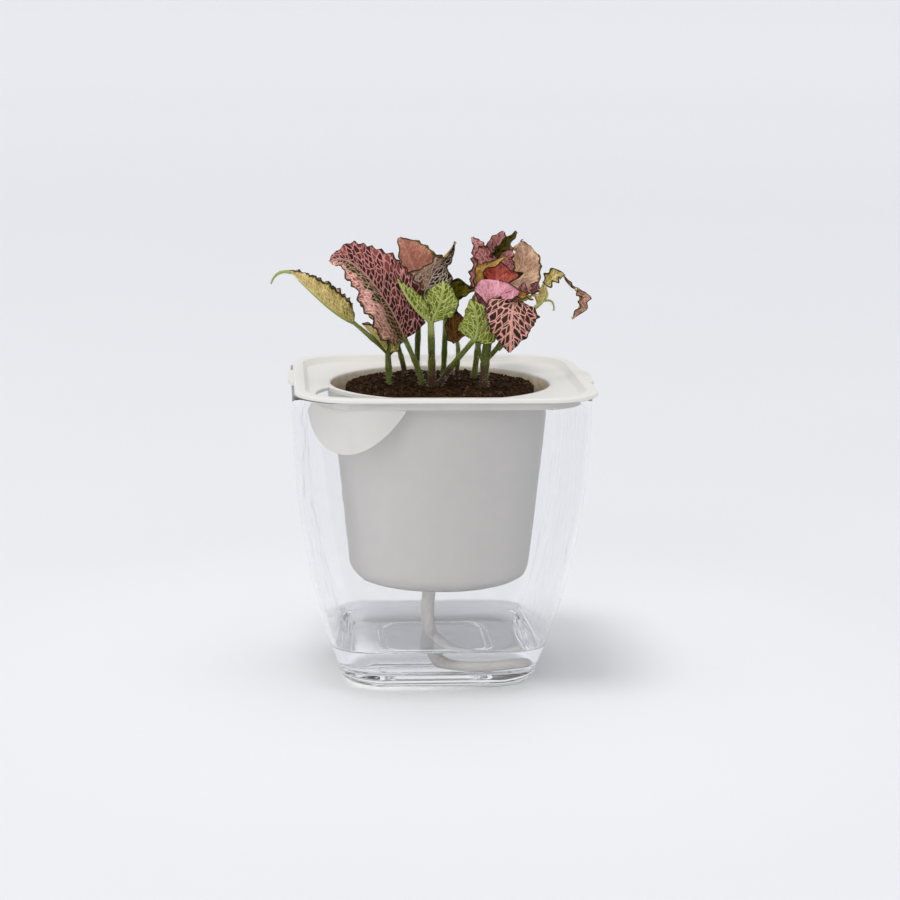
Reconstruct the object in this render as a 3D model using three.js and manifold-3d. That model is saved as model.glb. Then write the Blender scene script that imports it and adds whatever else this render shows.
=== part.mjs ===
// Nerve plant in a small self-watering planter. Millimetres, +Z up, front towards -Y.
// The origin is the bottom centre of the clear reservoir.
import * as THREE from 'three';
import { mergeVertices } from 'three/addons/utils/BufferGeometryUtils.js';
import Module from 'manifold-3d';

const wasm = await Module();
wasm.setup();

// Reservoir: a rounded square that narrows to its foot
const RIM_Z = 121;
const RIM_HALF = 59.5;
const FOOT_CURVE_HALF = 37.6;
const SIDE_POWER = 2.2;
const RIM_ROUND = 22;
const FOOT_ROUND = 18;
const WALL = 2;
const FOOT_HALF = 32;
const FOOT_EDGE = 7;
const FLOOR_Z = 5.5;
const FLOOR_HALF = 29.5;
const FLOOR_EDGE = 6;
const GROOVE_INNER = 20.5;
const GROOVE_OUTER = 23.5;
const GROOVE_DEPTH = 2;
const GROOVE_ROUND = 9;
const WATER_Z = 16.5;
const GAP = 0.3;
const SHORT_EDGE = 0.02;
const ROUND_SIDES = 40;

// Insert: lip, sunk tray, cup, fill hole with its guide sheet, finger tabs
const INSERT_SHIFT = 1.5;
const LIP_HALF = 60;
const LIP_ROUND = 22.5;
const LIP_TOP = 122.8;
const LIP_INNER = 55.6;
const TRAY_HALF = 54;
const TRAY_TOP = 120.2;
const TRAY_UNDER = 118.7;
const SKIRT_HALF = 55.5;
const SKIRT_BOTTOM = 117.6;
const CUP_WALL = 1.5;
const CUP_RADIUS = 46.4;
const CUP_FOOT_RADIUS = 38.6;
const CUP_FOOT_Z = 46.5;
const CUP_BOTTOM_Z = 39.3;
const CUP_FLAT_RADIUS = 30;
const MOUTH_RADIUS = 45.3;
const PORT_CENTRE = -28.5;
const PORT_RADIUS = 23;
const PORT_CLEAR_RADIUS = 48;
const GUIDE_CENTRE = -27;
const GUIDE_RADIUS = 27.2;
const GUIDE_THICK = 1.5;
const GUIDE_DROP = 18.9;
const GUIDE_TURN = 240;
const GUIDE_HALF_ANGLE = 52;
const TAB_REACH = 62.3;
const TAB_HALF_LENGTH = 10;
const TAB_BLEND = 10;

// Wick: one cotton cord through the cup's bottom
const WICK_RADIUS = 2.75;
const WICK_X = -1.5;
const WICK_HOLE_RADIUS = 3.4;
const WICK_IN_SOIL_TOP = 80;
const WICK_SIDES = 10;
const WICK_STEPS = 18;

// Soil plug, narrower than the cup's mouth
const SOIL_RADIUS = 39.2;
const SOIL_Z = 119;
const SOIL_EDGE = 1.2;
const ROOT_BOTTOM = 104;

// Leaves and stems
const BLADE_THICK = 0.6;
const BLADE_ROW_PITCH = 3.1;
const BLADE_MIN_ROWS = 8;
const NARROW_BLADE = 7;
const BLADE_END_HALF = 0.7;
const TOOTH = 0.9;
const STEM_SIDES = 6;
const STEM_STEPS = 5;
const RIB_RADIUS = 0.75;
const RIB_END_RADIUS = 0.45;
const RIB_LENGTH = 0.5;
const RIB_SINK = 0.45;

const clearPlastic = new THREE.MeshStandardMaterial({
  color: 0xe6eaf2, roughness: 0.05, metalness: 0, transparent: true, opacity: 0.3,
});
const waterTint = new THREE.MeshStandardMaterial({
  color: 0xd8dce8, roughness: 0.02, metalness: 0, transparent: true, opacity: 0.35,
});
const whitePlastic = new THREE.MeshStandardMaterial({ color: 0xf1efea, roughness: 0.4, metalness: 0 });
const cotton = new THREE.MeshStandardMaterial({ color: 0xd9d4cc, roughness: 0.95, metalness: 0 });
const earth = new THREE.MeshStandardMaterial({ color: 0x3a2a1e, roughness: 1, metalness: 0 });
const leafPink = new THREE.MeshStandardMaterial({ color: 0xb86a70, roughness: 0.55, metalness: 0 });
const leafGreen = new THREE.MeshStandardMaterial({ color: 0x86a04a, roughness: 0.55, metalness: 0 });

// Basic shapes

function point([x, y, z]) {
  return new THREE.Vector3(x, y, z);
}

function roundedSquare(half, round, z) {
  const cornerSteps = 5;
  const centre = half - round;
  const ring = [];
  for (let corner = 0; corner < 4; corner += 1) {
    const side = [[1, 1], [-1, 1], [-1, -1], [1, -1]][corner];
    for (let step = 0; step <= cornerSteps; step += 1) {
      const angle = (corner + step / cornerSteps) * Math.PI / 2;
      ring.push(new THREE.Vector3(
        side[0] * centre + round * Math.cos(angle),
        side[1] * centre + round * Math.sin(angle),
        z,
      ));
    }
  }
  return ring;
}

// Joins rings of equally many points, each counter-clockwise about the way they go, and closes both ends
function loft(rings) {
  const count = rings[0].length;
  const positions = rings.flat();
  const indices = [];
  for (let j = 0; j + 1 < rings.length; j += 1) {
    for (let i = 0; i < count; i += 1) {
      const a = j * count + i;
      const b = j * count + (i + 1) % count;
      indices.push(a, b, b + count, a, b + count, a + count);
    }
  }
  const first = positions.length;
  const last = first + 1;
  const lastRing = (rings.length - 1) * count;
  positions.push(middle(rings[0]), middle(rings[rings.length - 1]));
  for (let i = 0; i < count; i += 1) {
    const next = (i + 1) % count;
    indices.push(first, next, i);
    indices.push(last, lastRing + i, lastRing + next);
  }
  return meshOf(positions, indices);
}

function middle(ring) {
  const sum = new THREE.Vector3();
  ring.forEach((p) => sum.add(p));
  return sum.divideScalar(ring.length);
}

function meshOf(positions, indices) {
  const geometry = new THREE.BufferGeometry();
  const numbers = positions.flatMap((p) => [p.x, p.y, p.z]);
  geometry.setAttribute('position', new THREE.Float32BufferAttribute(numbers, 3));
  geometry.setIndex(indices);
  return geometry;
}

function solid(geometry) {
  const bare = geometry.clone();
  bare.deleteAttribute('normal');
  bare.deleteAttribute('uv');
  const merged = mergeVertices(bare);
  return new wasm.Manifold(new wasm.Mesh({
    numProp: 3,
    vertProperties: new Float32Array(merged.attributes.position.array),
    triVerts: new Uint32Array(merged.index.array),
  }));
}

// One body from several that overlap: very short edges go, and so do sealed hollows and loose scraps
function joined(solids) {
  const whole = solids.reduce((sum, piece) => sum.add(piece)).asOriginal().simplify(SHORT_EDGE);
  return whole.decompose().reduce((largest, piece) => (piece.volume() > largest.volume() ? piece : largest));
}

function named(name, body, material) {
  const { vertProperties, triVerts } = body.getMesh();
  const geometry = new THREE.BufferGeometry();
  geometry.setAttribute('position', new THREE.Float32BufferAttribute(vertProperties, 3));
  geometry.setIndex(Array.from(triVerts));
  geometry.computeVertexNormals();
  const mesh = new THREE.Mesh(geometry, material);
  mesh.name = name;
  return mesh;
}

function lathe(profile, segments) {
  const turned = new THREE.LatheGeometry(profile.map(([r, z]) => new THREE.Vector2(r, z)), segments);
  turned.rotateX(Math.PI / 2);
  return solid(turned);
}

function upright(radius, bottom, top, x, y, segments) {
  const post = new THREE.CylinderGeometry(radius, radius, top - bottom, segments);
  post.rotateX(Math.PI / 2);
  post.translate(x, y, (bottom + top) / 2);
  return solid(post);
}

// Reservoir and water

function sideHalf(z) {
  return RIM_HALF - (RIM_HALF - FOOT_CURVE_HALF) * ((RIM_Z - z) / RIM_Z) ** SIDE_POWER;
}

function sideRound(z) {
  return FOOT_ROUND + (RIM_ROUND - FOOT_ROUND) * z / RIM_Z;
}

// Quarter turn from a flat of the given half width at the bottom up into the side
function edgeRings(bottom, flatHalf, edge, inset, steps) {
  const rings = [];
  const sideAtTop = sideHalf(bottom + edge) - inset;
  for (let step = 0; step <= steps; step += 1) {
    const angle = step / steps * Math.PI / 2;
    const half = flatHalf + (sideAtTop - flatHalf) * Math.sin(angle);
    const z = bottom + edge * (1 - Math.cos(angle));
    rings.push(roundedSquare(half, sideRound(z) - inset - (sideAtTop - half) * 0.4, z));
  }
  return rings;
}

function sideRings(from, to, inset, steps) {
  const rings = [];
  for (let step = 1; step <= steps; step += 1) {
    const z = from + (to - from) * step / steps;
    rings.push(roundedSquare(sideHalf(z) - inset, sideRound(z) - inset, z));
  }
  return rings;
}

function reservoir() {
  const underside = [
    roundedSquare(1, 0.5, 0),
    roundedSquare(GROOVE_INNER, GROOVE_ROUND, 0),
    roundedSquare(GROOVE_INNER + 0.4, GROOVE_ROUND, GROOVE_DEPTH),
    roundedSquare(GROOVE_OUTER - 0.4, GROOVE_ROUND + 2, GROOVE_DEPTH),
    roundedSquare(GROOVE_OUTER, GROOVE_ROUND + 2, 0),
  ];
  const outside = [
    ...edgeRings(0, FOOT_HALF, FOOT_EDGE, 0, 4),
    ...sideRings(FOOT_EDGE, RIM_Z, 0, 7),
  ];
  const inside = [
    ...edgeRings(FLOOR_Z, FLOOR_HALF, FLOOR_EDGE, WALL, 3),
    ...sideRings(FLOOR_Z + FLOOR_EDGE, RIM_Z, WALL, 7),
  ].reverse();
  return solid(loft([...underside, ...outside, ...inside, roundedSquare(1, 0.5, FLOOR_Z)]));
}

function water() {
  const inset = WALL + GAP;
  const bottom = FLOOR_Z + GAP;
  const rings = [
    ...edgeRings(bottom, FLOOR_HALF - GAP, FLOOR_EDGE, inset, 3),
    ...sideRings(bottom + FLOOR_EDGE, WATER_Z, inset, 2),
  ];
  const channel = solid(cord(WICK_TAIL, WICK_RADIUS + GAP, true));
  return solid(loft(rings)).subtract(channel);
}

// Wick: its free tail hangs out of the cup and lies along the reservoir's floor

const WICK_TAIL = [
  [-1.5, 0, 39], [-1.9, 0.4, 34.5], [-2.4, 0.8, 30], [-2.7, 0.7, 25.5], [-2.7, -0.3, 21],
  [-2.3, -2.7, 17], [-1.3, -6.4, 13.4], [0.3, -11, 10.9], [2.2, -16.2, 9.7], [4.4, -21.4, 9.2],
  [7.2, -26.3, 9.1], [10.9, -30.3, 9.2], [15.6, -32.6, 9.3], [20.8, -33, 9.5], [25.8, -31.6, 9.8],
  [30, -28.5, 10], [33, -24.4, 9.8],
];

function cord(route, radius, longer) {
  const points = route.map(point);
  if (longer) {
    const [before, end] = points.slice(-2);
    end.lerpVectors(before, end, 1 + GAP / before.distanceTo(end));
  }
  const section = new THREE.Shape();
  for (let i = 0; i < WICK_SIDES; i += 1) {
    const angle = i / WICK_SIDES * 2 * Math.PI;
    const corner = [radius * Math.cos(angle), radius * Math.sin(angle)];
    if (i === 0) {
      section.moveTo(...corner);
    } else {
      section.lineTo(...corner);
    }
  }
  return new THREE.ExtrudeGeometry(section, {
    steps: WICK_STEPS,
    extrudePath: new THREE.CatmullRomCurve3(points),
  });
}

// Insert, drawn about the cup's own axis

function plate(rings) {
  return solid(loft(rings.map(([half, round, z]) => roundedSquare(half, round, z))));
}

function cupOutside() {
  const profile = [[0, CUP_BOTTOM_Z]];
  for (let step = 0; step <= 4; step += 1) {
    const angle = step / 4 * Math.PI / 2;
    profile.push([
      CUP_FLAT_RADIUS + (CUP_FOOT_RADIUS - CUP_FLAT_RADIUS) * Math.sin(angle),
      CUP_BOTTOM_Z + (CUP_FOOT_Z - CUP_BOTTOM_Z) * (1 - Math.cos(angle)),
    ]);
  }
  profile.push([CUP_RADIUS, TRAY_UNDER + 0.5], [0, TRAY_UNDER + 0.5]);
  return profile;
}

function cupRadius(z) {
  const rise = (z - CUP_FOOT_Z) / (TRAY_UNDER - CUP_FOOT_Z);
  return CUP_FOOT_RADIUS + (CUP_RADIUS - CUP_FOOT_RADIUS) * rise - CUP_WALL;
}

function cupInside() {
  const bottom = CUP_BOTTOM_Z + CUP_WALL;
  const edge = CUP_FOOT_Z - CUP_BOTTOM_Z - CUP_WALL / 2;
  const profile = [[0, bottom]];
  for (let step = 0; step <= 4; step += 1) {
    const angle = step / 4 * Math.PI / 2;
    profile.push([
      CUP_FLAT_RADIUS - 1 + (cupRadius(bottom + edge) - CUP_FLAT_RADIUS + 1) * Math.sin(angle),
      bottom + edge * (1 - Math.cos(angle)),
    ]);
  }
  profile.push([cupRadius(TRAY_UNDER), TRAY_UNDER], [MOUTH_RADIUS, TRAY_TOP], [MOUTH_RADIUS, LIP_TOP + 1]);
  profile.push([0, LIP_TOP + 1]);
  return profile;
}

function tab(side) {
  const shape = new THREE.Shape();
  const end = TAB_HALF_LENGTH + TAB_BLEND;
  const root = LIP_HALF - 2;
  shape.moveTo(root, -end);
  shape.lineTo(LIP_HALF - 0.3, -end);
  shape.bezierCurveTo(LIP_HALF, -end + 7, TAB_REACH, -end + 5, TAB_REACH, -TAB_HALF_LENGTH);
  shape.lineTo(TAB_REACH, TAB_HALF_LENGTH);
  shape.bezierCurveTo(TAB_REACH, end - 5, LIP_HALF, end - 7, LIP_HALF - 0.3, end);
  shape.lineTo(root, end);
  const depth = LIP_TOP - RIM_Z - 0.4;
  const slab = new THREE.ExtrudeGeometry(shape, { depth, bevelEnabled: false, curveSegments: 6 });
  slab.translate(0, 0, RIM_Z + 0.1);
  if (side < 0) {
    slab.rotateZ(Math.PI);
  }
  return solid(slab);
}

// Curved sheet under the fill hole, deepest at the corner
function guideSheet() {
  const steps = 14;
  const rings = [];
  for (let step = 0; step <= steps; step += 1) {
    const share = step / steps * 2 - 1;
    const angle = (GUIDE_TURN + GUIDE_HALF_ANGLE * share) * Math.PI / 180;
    const low = TRAY_UNDER - 0.6 - (GUIDE_DROP - 0.6) * (1 - share * share);
    const high = TRAY_UNDER + 0.5;
    const at = (radius, z) => new THREE.Vector3(
      GUIDE_CENTRE + radius * Math.cos(angle),
      GUIDE_CENTRE + radius * Math.sin(angle),
      z,
    );
    const outer = GUIDE_RADIUS + GUIDE_THICK;
    rings.push([at(GUIDE_RADIUS, low), at(GUIDE_RADIUS, high), at(outer, high), at(outer, low)]);
  }
  return solid(loft(rings));
}

function insert() {
  const slab = plate([
    [SKIRT_HALF, LIP_ROUND - 4.5, SKIRT_BOTTOM], [SKIRT_HALF, LIP_ROUND - 4.5, RIM_Z],
    [LIP_HALF, LIP_ROUND, RIM_Z], [LIP_HALF, LIP_ROUND, LIP_TOP - 0.5],
    [LIP_HALF - 0.5, LIP_ROUND - 0.5, LIP_TOP],
  ]);
  const trayHollow = plate([
    [TRAY_HALF, LIP_ROUND - 6, TRAY_TOP], [LIP_INNER, LIP_ROUND - 4.4, LIP_TOP],
    [LIP_INNER, LIP_ROUND - 4.4, LIP_TOP + 1],
  ]);
  const underHollow = plate([
    [TRAY_HALF, LIP_ROUND - 6, SKIRT_BOTTOM - 1], [TRAY_HALF, LIP_ROUND - 6, TRAY_UNDER],
  ]);
  const port = upright(PORT_RADIUS, TRAY_UNDER - 0.5, LIP_TOP, PORT_CENTRE, PORT_CENTRE, ROUND_SIDES)
    .subtract(upright(PORT_CLEAR_RADIUS, TRAY_UNDER - 1, LIP_TOP + 1, 0, 0, ROUND_SIDES));
  const wickHole = upright(WICK_HOLE_RADIUS, CUP_BOTTOM_Z - 1, CUP_BOTTOM_Z + CUP_WALL + 1,
    WICK_X - INSERT_SHIFT, 0, 12);
  return slab.subtract(trayHollow).subtract(underHollow)
    .add(lathe(cupOutside(), ROUND_SIDES))
    .subtract(lathe(cupInside(), ROUND_SIDES))
    .add(tab(1))
    .add(tab(-1))
    .subtract(port)
    .add(guideSheet())
    .subtract(wickHole);
}

// Soil, with a slightly uneven top, plain holes for the stems and one for the wick

function soilTop(x, y) {
  const swell = 0.35 * Math.sin(0.31 * x + 1) * Math.cos(0.27 * y) + 0.2 * Math.sin(0.6 * y - 0.4 * x);
  const pit = 3.2 * Math.exp(-(((x - 9) / 6) ** 2) - ((y - 20) / 4.5) ** 2);
  return SOIL_Z + swell - pit;
}

function soil(stems) {
  const turn = 36;
  const ring = (radius, height) => Array.from({ length: turn }, (_, i) => {
    const angle = i / turn * 2 * Math.PI;
    const x = radius * Math.cos(angle);
    const y = radius * Math.sin(angle);
    return new THREE.Vector3(x, y, height === null ? soilTop(x, y) : height);
  });
  const bottom = CUP_BOTTOM_Z + CUP_WALL + GAP;
  const foot = CUP_FOOT_Z + GAP;
  const taperTop = CUP_FOOT_Z + (SOIL_RADIUS + GAP - cupRadius(CUP_FOOT_Z))
    / (cupRadius(TRAY_UNDER) - cupRadius(CUP_FOOT_Z)) * (TRAY_UNDER - CUP_FOOT_Z);
  const plug = solid(loft([
    ring(CUP_FLAT_RADIUS - 3, bottom), ring(CUP_FOOT_RADIUS - CUP_WALL - 2, bottom + 2.5),
    ring(cupRadius(foot) - 2 * GAP, foot), ring(SOIL_RADIUS - GAP, taperTop),
    ring(SOIL_RADIUS - GAP, SOIL_Z - SOIL_EDGE), ring(SOIL_RADIUS - SOIL_EDGE, null),
    ring(31, null), ring(24, null), ring(16, null), ring(8, null), ring(2, null),
  ]));
  const holes = stems.filter((stem) => stem.rooted).map((stem) => upright(
    stem.radius[0] + GAP, ROOT_BOTTOM - GAP, SOIL_Z + 6,
    stem.path[0][0] - INSERT_SHIFT, stem.path[0][1], 8,
  ));
  const wickBore = upright(WICK_RADIUS + GAP, bottom - 1, WICK_IN_SOIL_TOP + GAP,
    WICK_X - INSERT_SHIFT, 0, 12);
  return holes.reduce((rest, hole) => rest.subtract(hole), plug).subtract(wickBore);
}

// Stems and petioles: round, tapering, along a Bezier curve

function bezier(path) {
  return new THREE.CubicBezierCurve3(...path.map(point));
}

function roundStem(path, radii, sides, steps) {
  const curve = bezier(path);
  let across = null;
  const rings = [];
  for (let step = 0; step <= steps; step += 1) {
    const share = step / steps;
    const centre = curve.getPoint(share);
    const along = curve.getTangent(share);
    if (across === null) {
      across = new THREE.Vector3(1, 0.3, 0.1);
    }
    across.addScaledVector(along, -across.dot(along)).normalize();
    const side = new THREE.Vector3().crossVectors(along, across);
    const radius = radii[0] + (radii[1] - radii[0]) * share;
    rings.push(Array.from({ length: sides }, (_, i) => {
      const angle = i / sides * 2 * Math.PI;
      return centre.clone()
        .addScaledVector(across, radius * Math.cos(angle))
        .addScaledVector(side, radius * Math.sin(angle));
    }));
  }
  return solid(loft(rings));
}

function stemSolids(stem) {
  const parts = [roundStem(stem.path, stem.radius, STEM_SIDES, STEM_STEPS)];
  if (stem.rooted) {
    const [x, y, z] = stem.path[0];
    parts.push(upright(stem.radius[0], ROOT_BOTTOM, z + 0.4, x, y, STEM_SIDES));
  }
  return parts;
}

// Leaves: each half blade leaves the midrib at its fold angle and bends on by its curl angle, both
// towards the upper face, with a waved and toothed margin

function bladeFrame(leaf, share) {
  const curve = bezier(leaf.spine);
  const along = curve.getTangent(share);
  const face = point(leaf.face[0]).lerp(point(leaf.face[1]), share);
  face.addScaledVector(along, -face.dot(along)).normalize();
  return { centre: curve.getPoint(share), along, face, right: new THREE.Vector3().crossVectors(along, face) };
}

function halfWidth(leaf, share) {
  return Math.max(BLADE_END_HALF, leaf.wide * Math.sin(Math.PI * share ** (leaf.peak || 0.85)) ** 0.8);
}

// Sideways and upward way of an arc that starts at the fold angle and turns evenly by the curl angle
function arcWay(fold, curl, share) {
  const start = fold * Math.PI / 180;
  const turn = curl * Math.PI / 180;
  if (Math.abs(turn) < 0.01) {
    return [share * Math.cos(start), share * Math.sin(start)];
  }
  return [
    (Math.sin(start + turn * share) - Math.sin(start)) / turn,
    (Math.cos(start) - Math.cos(start + turn * share)) / turn,
  ];
}

// A half blade's fold and curl, which may be other at the tip than at the base
function halfShape([fold, curl, tipFold = fold, tipCurl = curl], share) {
  return { fold: fold + (tipFold - fold) * share, curl: curl + (tipCurl - curl) * share };
}

function bladeRow(leaf, row, rows, columns) {
  const share = row / rows;
  const { centre, face, right } = bladeFrame(leaf, share);
  const half = halfWidth(leaf, share);
  const meanFold = (leaf.left[0] + leaf.right[0]) * Math.PI / 360;
  const keel = 1 / Math.max(0.6, Math.cos(meanFold));
  const top = [];
  const under = [];
  for (let column = -columns; column <= columns; column += 1) {
    const side = column < 0 ? -1 : 1;
    const { fold, curl } = halfShape(column < 0 ? leaf.left : leaf.right, share);
    let out = Math.abs(column) / columns;
    if (Math.abs(column) === columns && row % 2 === 1) {
      out += Math.min(TOOTH, half * 0.3) / half;
    }
    const [across, up] = arcWay(fold, curl, out);
    const angle = (fold + curl * out) * Math.PI / 180;
    const lean = column === 0 ? 0 : angle;
    const normal = face.clone().multiplyScalar(Math.cos(lean))
      .addScaledVector(right, -side * Math.sin(lean));
    const ripple = leaf.wave[0] * out * out
      * Math.sin(2 * Math.PI * (leaf.wave[1] * share + leaf.wave[2] * side));
    const middlePoint = centre.clone()
      .addScaledVector(right, side * half * across)
      .addScaledVector(face, half * up)
      .addScaledVector(normal, ripple);
    const offset = BLADE_THICK / 2 * (column === 0 ? keel : 1);
    top.push(middlePoint.clone().addScaledVector(normal, offset));
    under.push(middlePoint.clone().addScaledVector(normal, -offset));
  }
  return { top, under };
}

function blade(leaf) {
  const rows = Math.max(BLADE_MIN_ROWS, Math.round(bezier(leaf.spine).getLength() / BLADE_ROW_PITCH));
  const columns = leaf.wide > NARROW_BLADE ? 3 : 2;
  const width = 2 * columns + 1;
  const positions = [];
  for (let row = 0; row <= rows; row += 1) {
    const { top, under } = bladeRow(leaf, row, rows, columns);
    positions.push(...top, ...under);
  }
  const top = (row, column) => row * 2 * width + column;
  const under = (row, column) => top(row, column) + width;
  const indices = [];
  const quad = (a, b, c, d) => indices.push(a, b, c, a, c, d);
  const last = width - 1;
  for (let row = 0; row < rows; row += 1) {
    for (let column = 0; column < last; column += 1) {
      quad(top(row, column), top(row, column + 1), top(row + 1, column + 1), top(row + 1, column));
      indices.push(under(row, column), under(row + 1, column + 1), under(row, column + 1));
      indices.push(under(row, column), under(row + 1, column), under(row + 1, column + 1));
    }
    quad(top(row, 0), top(row + 1, 0), under(row + 1, 0), under(row, 0));
    quad(top(row, last), under(row, last), under(row + 1, last), top(row + 1, last));
  }
  for (let column = 0; column < last; column += 1) {
    quad(top(0, column), under(0, column), under(0, column + 1), top(0, column + 1));
    quad(top(rows, column), top(rows, column + 1), under(rows, column + 1),
      under(rows, column));
  }
  return solid(meshOf(positions, indices));
}

// The midrib stands out from the underside and carries the petiole's end into the blade
function midrib(leaf) {
  const path = [0, 1 / 3, 2 / 3, 1].map((part) => {
    const { centre, along, face } = bladeFrame(leaf, part * RIB_LENGTH);
    const back = part === 0 ? -0.8 : 0;
    return centre.addScaledVector(face, -RIB_SINK).addScaledVector(along, back);
  });
  // A Bezier curve through the four points at thirds
  const [a, b, c, d] = path;
  const near = b.clone().multiplyScalar(3).addScaledVector(a, -5 / 6).addScaledVector(c, -1.5)
    .addScaledVector(d, 1 / 3);
  const far = c.clone().multiplyScalar(3).addScaledVector(d, -5 / 6).addScaledVector(b, -1.5)
    .addScaledVector(a, 1 / 3);
  const route = [a, near, far, d].map((p) => p.toArray());
  return roundStem(route, [RIB_RADIUS, RIB_END_RADIUS], 5, 3);
}

function shoot(plan) {
  const parts = plan.stems.flatMap(stemSolids);
  plan.leaves.forEach((leaf) => parts.push(blade(leaf), midrib(leaf)));
  return joined(parts);
}

// The rooted shoots. Paths and spines are Bezier points. A leaf's face is the way its upper side looks at
// its base and at its tip. left and right hold the fold and curl angles of its half blades at the base, and
// at the tip where they differ. wave holds the margin's height, waves along the leaf and phase.
const SHOOTS = {
  shoot_a: {
    material: leafGreen,
    stems: [
      {
        rooted: true, radius: [1.3, 1.2],
        path: [[-19.5, -1.6, 119], [-19.6, -1.6, 124], [-20, -1.8, 129], [-20.1, -2, 134.5]],
      },
      {
        radius: [1.1, 0.8],
        path: [[-20.1, -2, 132.5], [-24.3, -4, 136.7], [-30.1, -6, 141.9], [-34.6, -8, 145.8]],
      },
      {
        radius: [0.9, 0.7],
        path: [[-19.8, -2, 131.5], [-18, -1, 133.4], [-15.8, 0, 135.7], [-13.7, 2, 137.1]],
      },
      {
        radius: [0.8, 0.35],
        path: [[-59.4, -8, 165.9], [-63.2, -8, 166.9], [-66.4, -8, 165.6], [-67.6, -8, 161.2]],
      },
    ],
    leaves: [
      {
        spine: [[-34.6, -8, 145.8], [-43.9, -9, 149.5], [-53.6, -9, 161], [-60.4, -8, 166.5]],
        face: [[0.6, -0.1, 0.8], [0.5, -0.1, 0.9]], wide: 7.5, peak: 0.66,
        left: [60, 50], right: [60, 30], wave: [1, 4, 0.1],
      },
      {
        spine: [[-19.6, -3, 133], [-18.5, -3, 139], [-22, -3, 145.5], [-30.2, -3.2, 151.2]],
        face: [[0.3, 0.9, 0.2], [0.3, 0.9, 0.4]], wide: 6.5, peak: 0.6,
        left: [20, 50], right: [20, 50], wave: [0.8, 3, 0.2],
      },
      {
        spine: [[-21, -3.5, 133.8], [-24.4, -6, 138.6], [-27.3, -7, 142], [-31, -7, 145]],
        face: [[0.5, -0.3, 0.8], [0.5, -0.3, 0.8]], wide: 4,
        left: [45, 50], right: [45, 50], wave: [0.6, 3, 0.1],
      },
      {
        spine: [[-13.7, 2, 137.1], [-13.2, 5, 141.6], [-14.7, 8, 147.9], [-18, 8, 154.5]],
        face: [[-0.3, -0.9, 0.3], [-0.3, -0.9, 0.3]], wide: 7,
        left: [15, 30], right: [15, 30], wave: [0.8, 3, 0.3],
      },
    ],
  },
  shoot_b: {
    material: leafPink,
    stems: [
      {
        rooted: true, radius: [1.2, 1],
        path: [[-6, -3.6, 119], [-6.2, -4.2, 123.5], [-10.5, -7, 132.2], [-14, -8, 140]],
      },
    ],
    leaves: [
      {
        spine: [[-14, -8, 139.5], [-19, -14, 153], [-35, -18, 178], [-44, -17, 171]],
        face: [[0.23, -0.89, 0.46], [0.1, -0.8, 0.6]], wide: 14.5, peak: 0.62,
        left: [28, 0, 15, 10], right: [32, 0, 22, -35], wave: [1, 4, 0.15],
      },
    ],
  },
  shoot_c: {
    material: leafGreen,
    stems: [
      {
        rooted: true, radius: [1.6, 1.3],
        path: [[-2.4, -7, 119], [-2.4, -8, 128.5], [-3, -12, 137], [-3.5, -15, 147]],
      },
      {
        radius: [0.9, 0.8],
        path: [[-3.5, -14.3, 145.5], [-4.5, -11.5, 147.8], [-5.5, -7.5, 149.6], [-6, -4.5, 152.7]],
      },
    ],
    leaves: [
      {
        spine: [[-3.3, -15, 147], [-1, -15.5, 151], [1.8, -14.5, 157], [1.5, -12, 163]],
        face: [[-0.1, 0.98, -0.1], [-0.1, 0.98, -0.3]], wide: 7.4, peak: 1.1,
        left: [5, 10], right: [10, 20], wave: [0.7, 2, 0.2],
      },
      {
        spine: [[-4, -15.4, 147], [-9, -18, 150.5], [-14, -19.5, 156.5], [-17.3, -18.5, 164.5]],
        face: [[0.5, 0.6, 0.5], [0.5, 0.6, 0.5]], wide: 5,
        left: [50, 20], right: [40, 20], wave: [0.7, 3, 0.2],
      },
      {
        spine: [[-6, -4.5, 152.2], [-5.5, -2.5, 160], [-1, 1, 167], [7.8, 3.5, 177]],
        face: [[-0.2, -0.9, 0.3], [0.4, -0.85, 0.4]], wide: 12.5, peak: 0.5,
        left: [20, 10, 85, 25], right: [5, 10, 20, 110], wave: [1, 3, 0.2],
      },
    ],
  },
  shoot_d: {
    material: leafGreen,
    stems: [
      {
        rooted: true, radius: [1.2, 1.1],
        path: [[1.2, -3.6, 119], [1.4, -5, 122.6], [7, -12.5, 130.5], [13.8, -17.5, 140]],
      },
    ],
    leaves: [
      {
        spine: [[13.8, -17.5, 139.5], [16.5, -17.5, 145], [15, -16.5, 150.5], [12, -16, 156]],
        face: [[0.1, 0.95, -0.1], [0.2, 0.9, -0.2]], wide: 8.4, peak: 0.5,
        left: [12, 8], right: [5, 15], wave: [0.6, 3, 0.3],
      },
    ],
  },
  shoot_e: {
    material: leafGreen,
    stems: [
      {
        rooted: true, radius: [1.2, 1],
        path: [[4, 19, 119], [4.5, 16, 126], [4, 10, 136], [4, 7, 145]],
      },
      {
        rooted: true, radius: [1, 0.8],
        path: [[9, 11, 119], [9.2, 9, 125.6], [10.1, 7, 132.4], [8.5, 4, 137]],
      },
      {
        radius: [0.9, 0.7],
        path: [[4, 7, 143.5], [4, 6.5, 146], [4, 6, 148], [4, 6, 150]],
      },
      {
        radius: [0.8, 0.8],
        path: [[8.8, 4.5, 136.5], [7.5, 6, 140], [5.5, 7, 142], [4, 7, 143.5]],
      },
    ],
    leaves: [
      {
        spine: [[8.5, 3, 136.5], [6.5, 0.5, 140.5], [6, -1, 146], [7, -1.5, 151]],
        face: [[0.2, -0.95, 0.2], [0.2, -0.9, 0.2]], wide: 6,
        left: [20, 40], right: [20, 40], wave: [0.6, 3, 0.3],
      },
      {
        spine: [[4, 6, 149], [6, 2, 155], [9.5, -3, 159], [14.5, -4.5, 158]],
        face: [[0.1, -0.9, 0.3], [0.1, -0.9, 0.3]], wide: 8.4,
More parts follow.
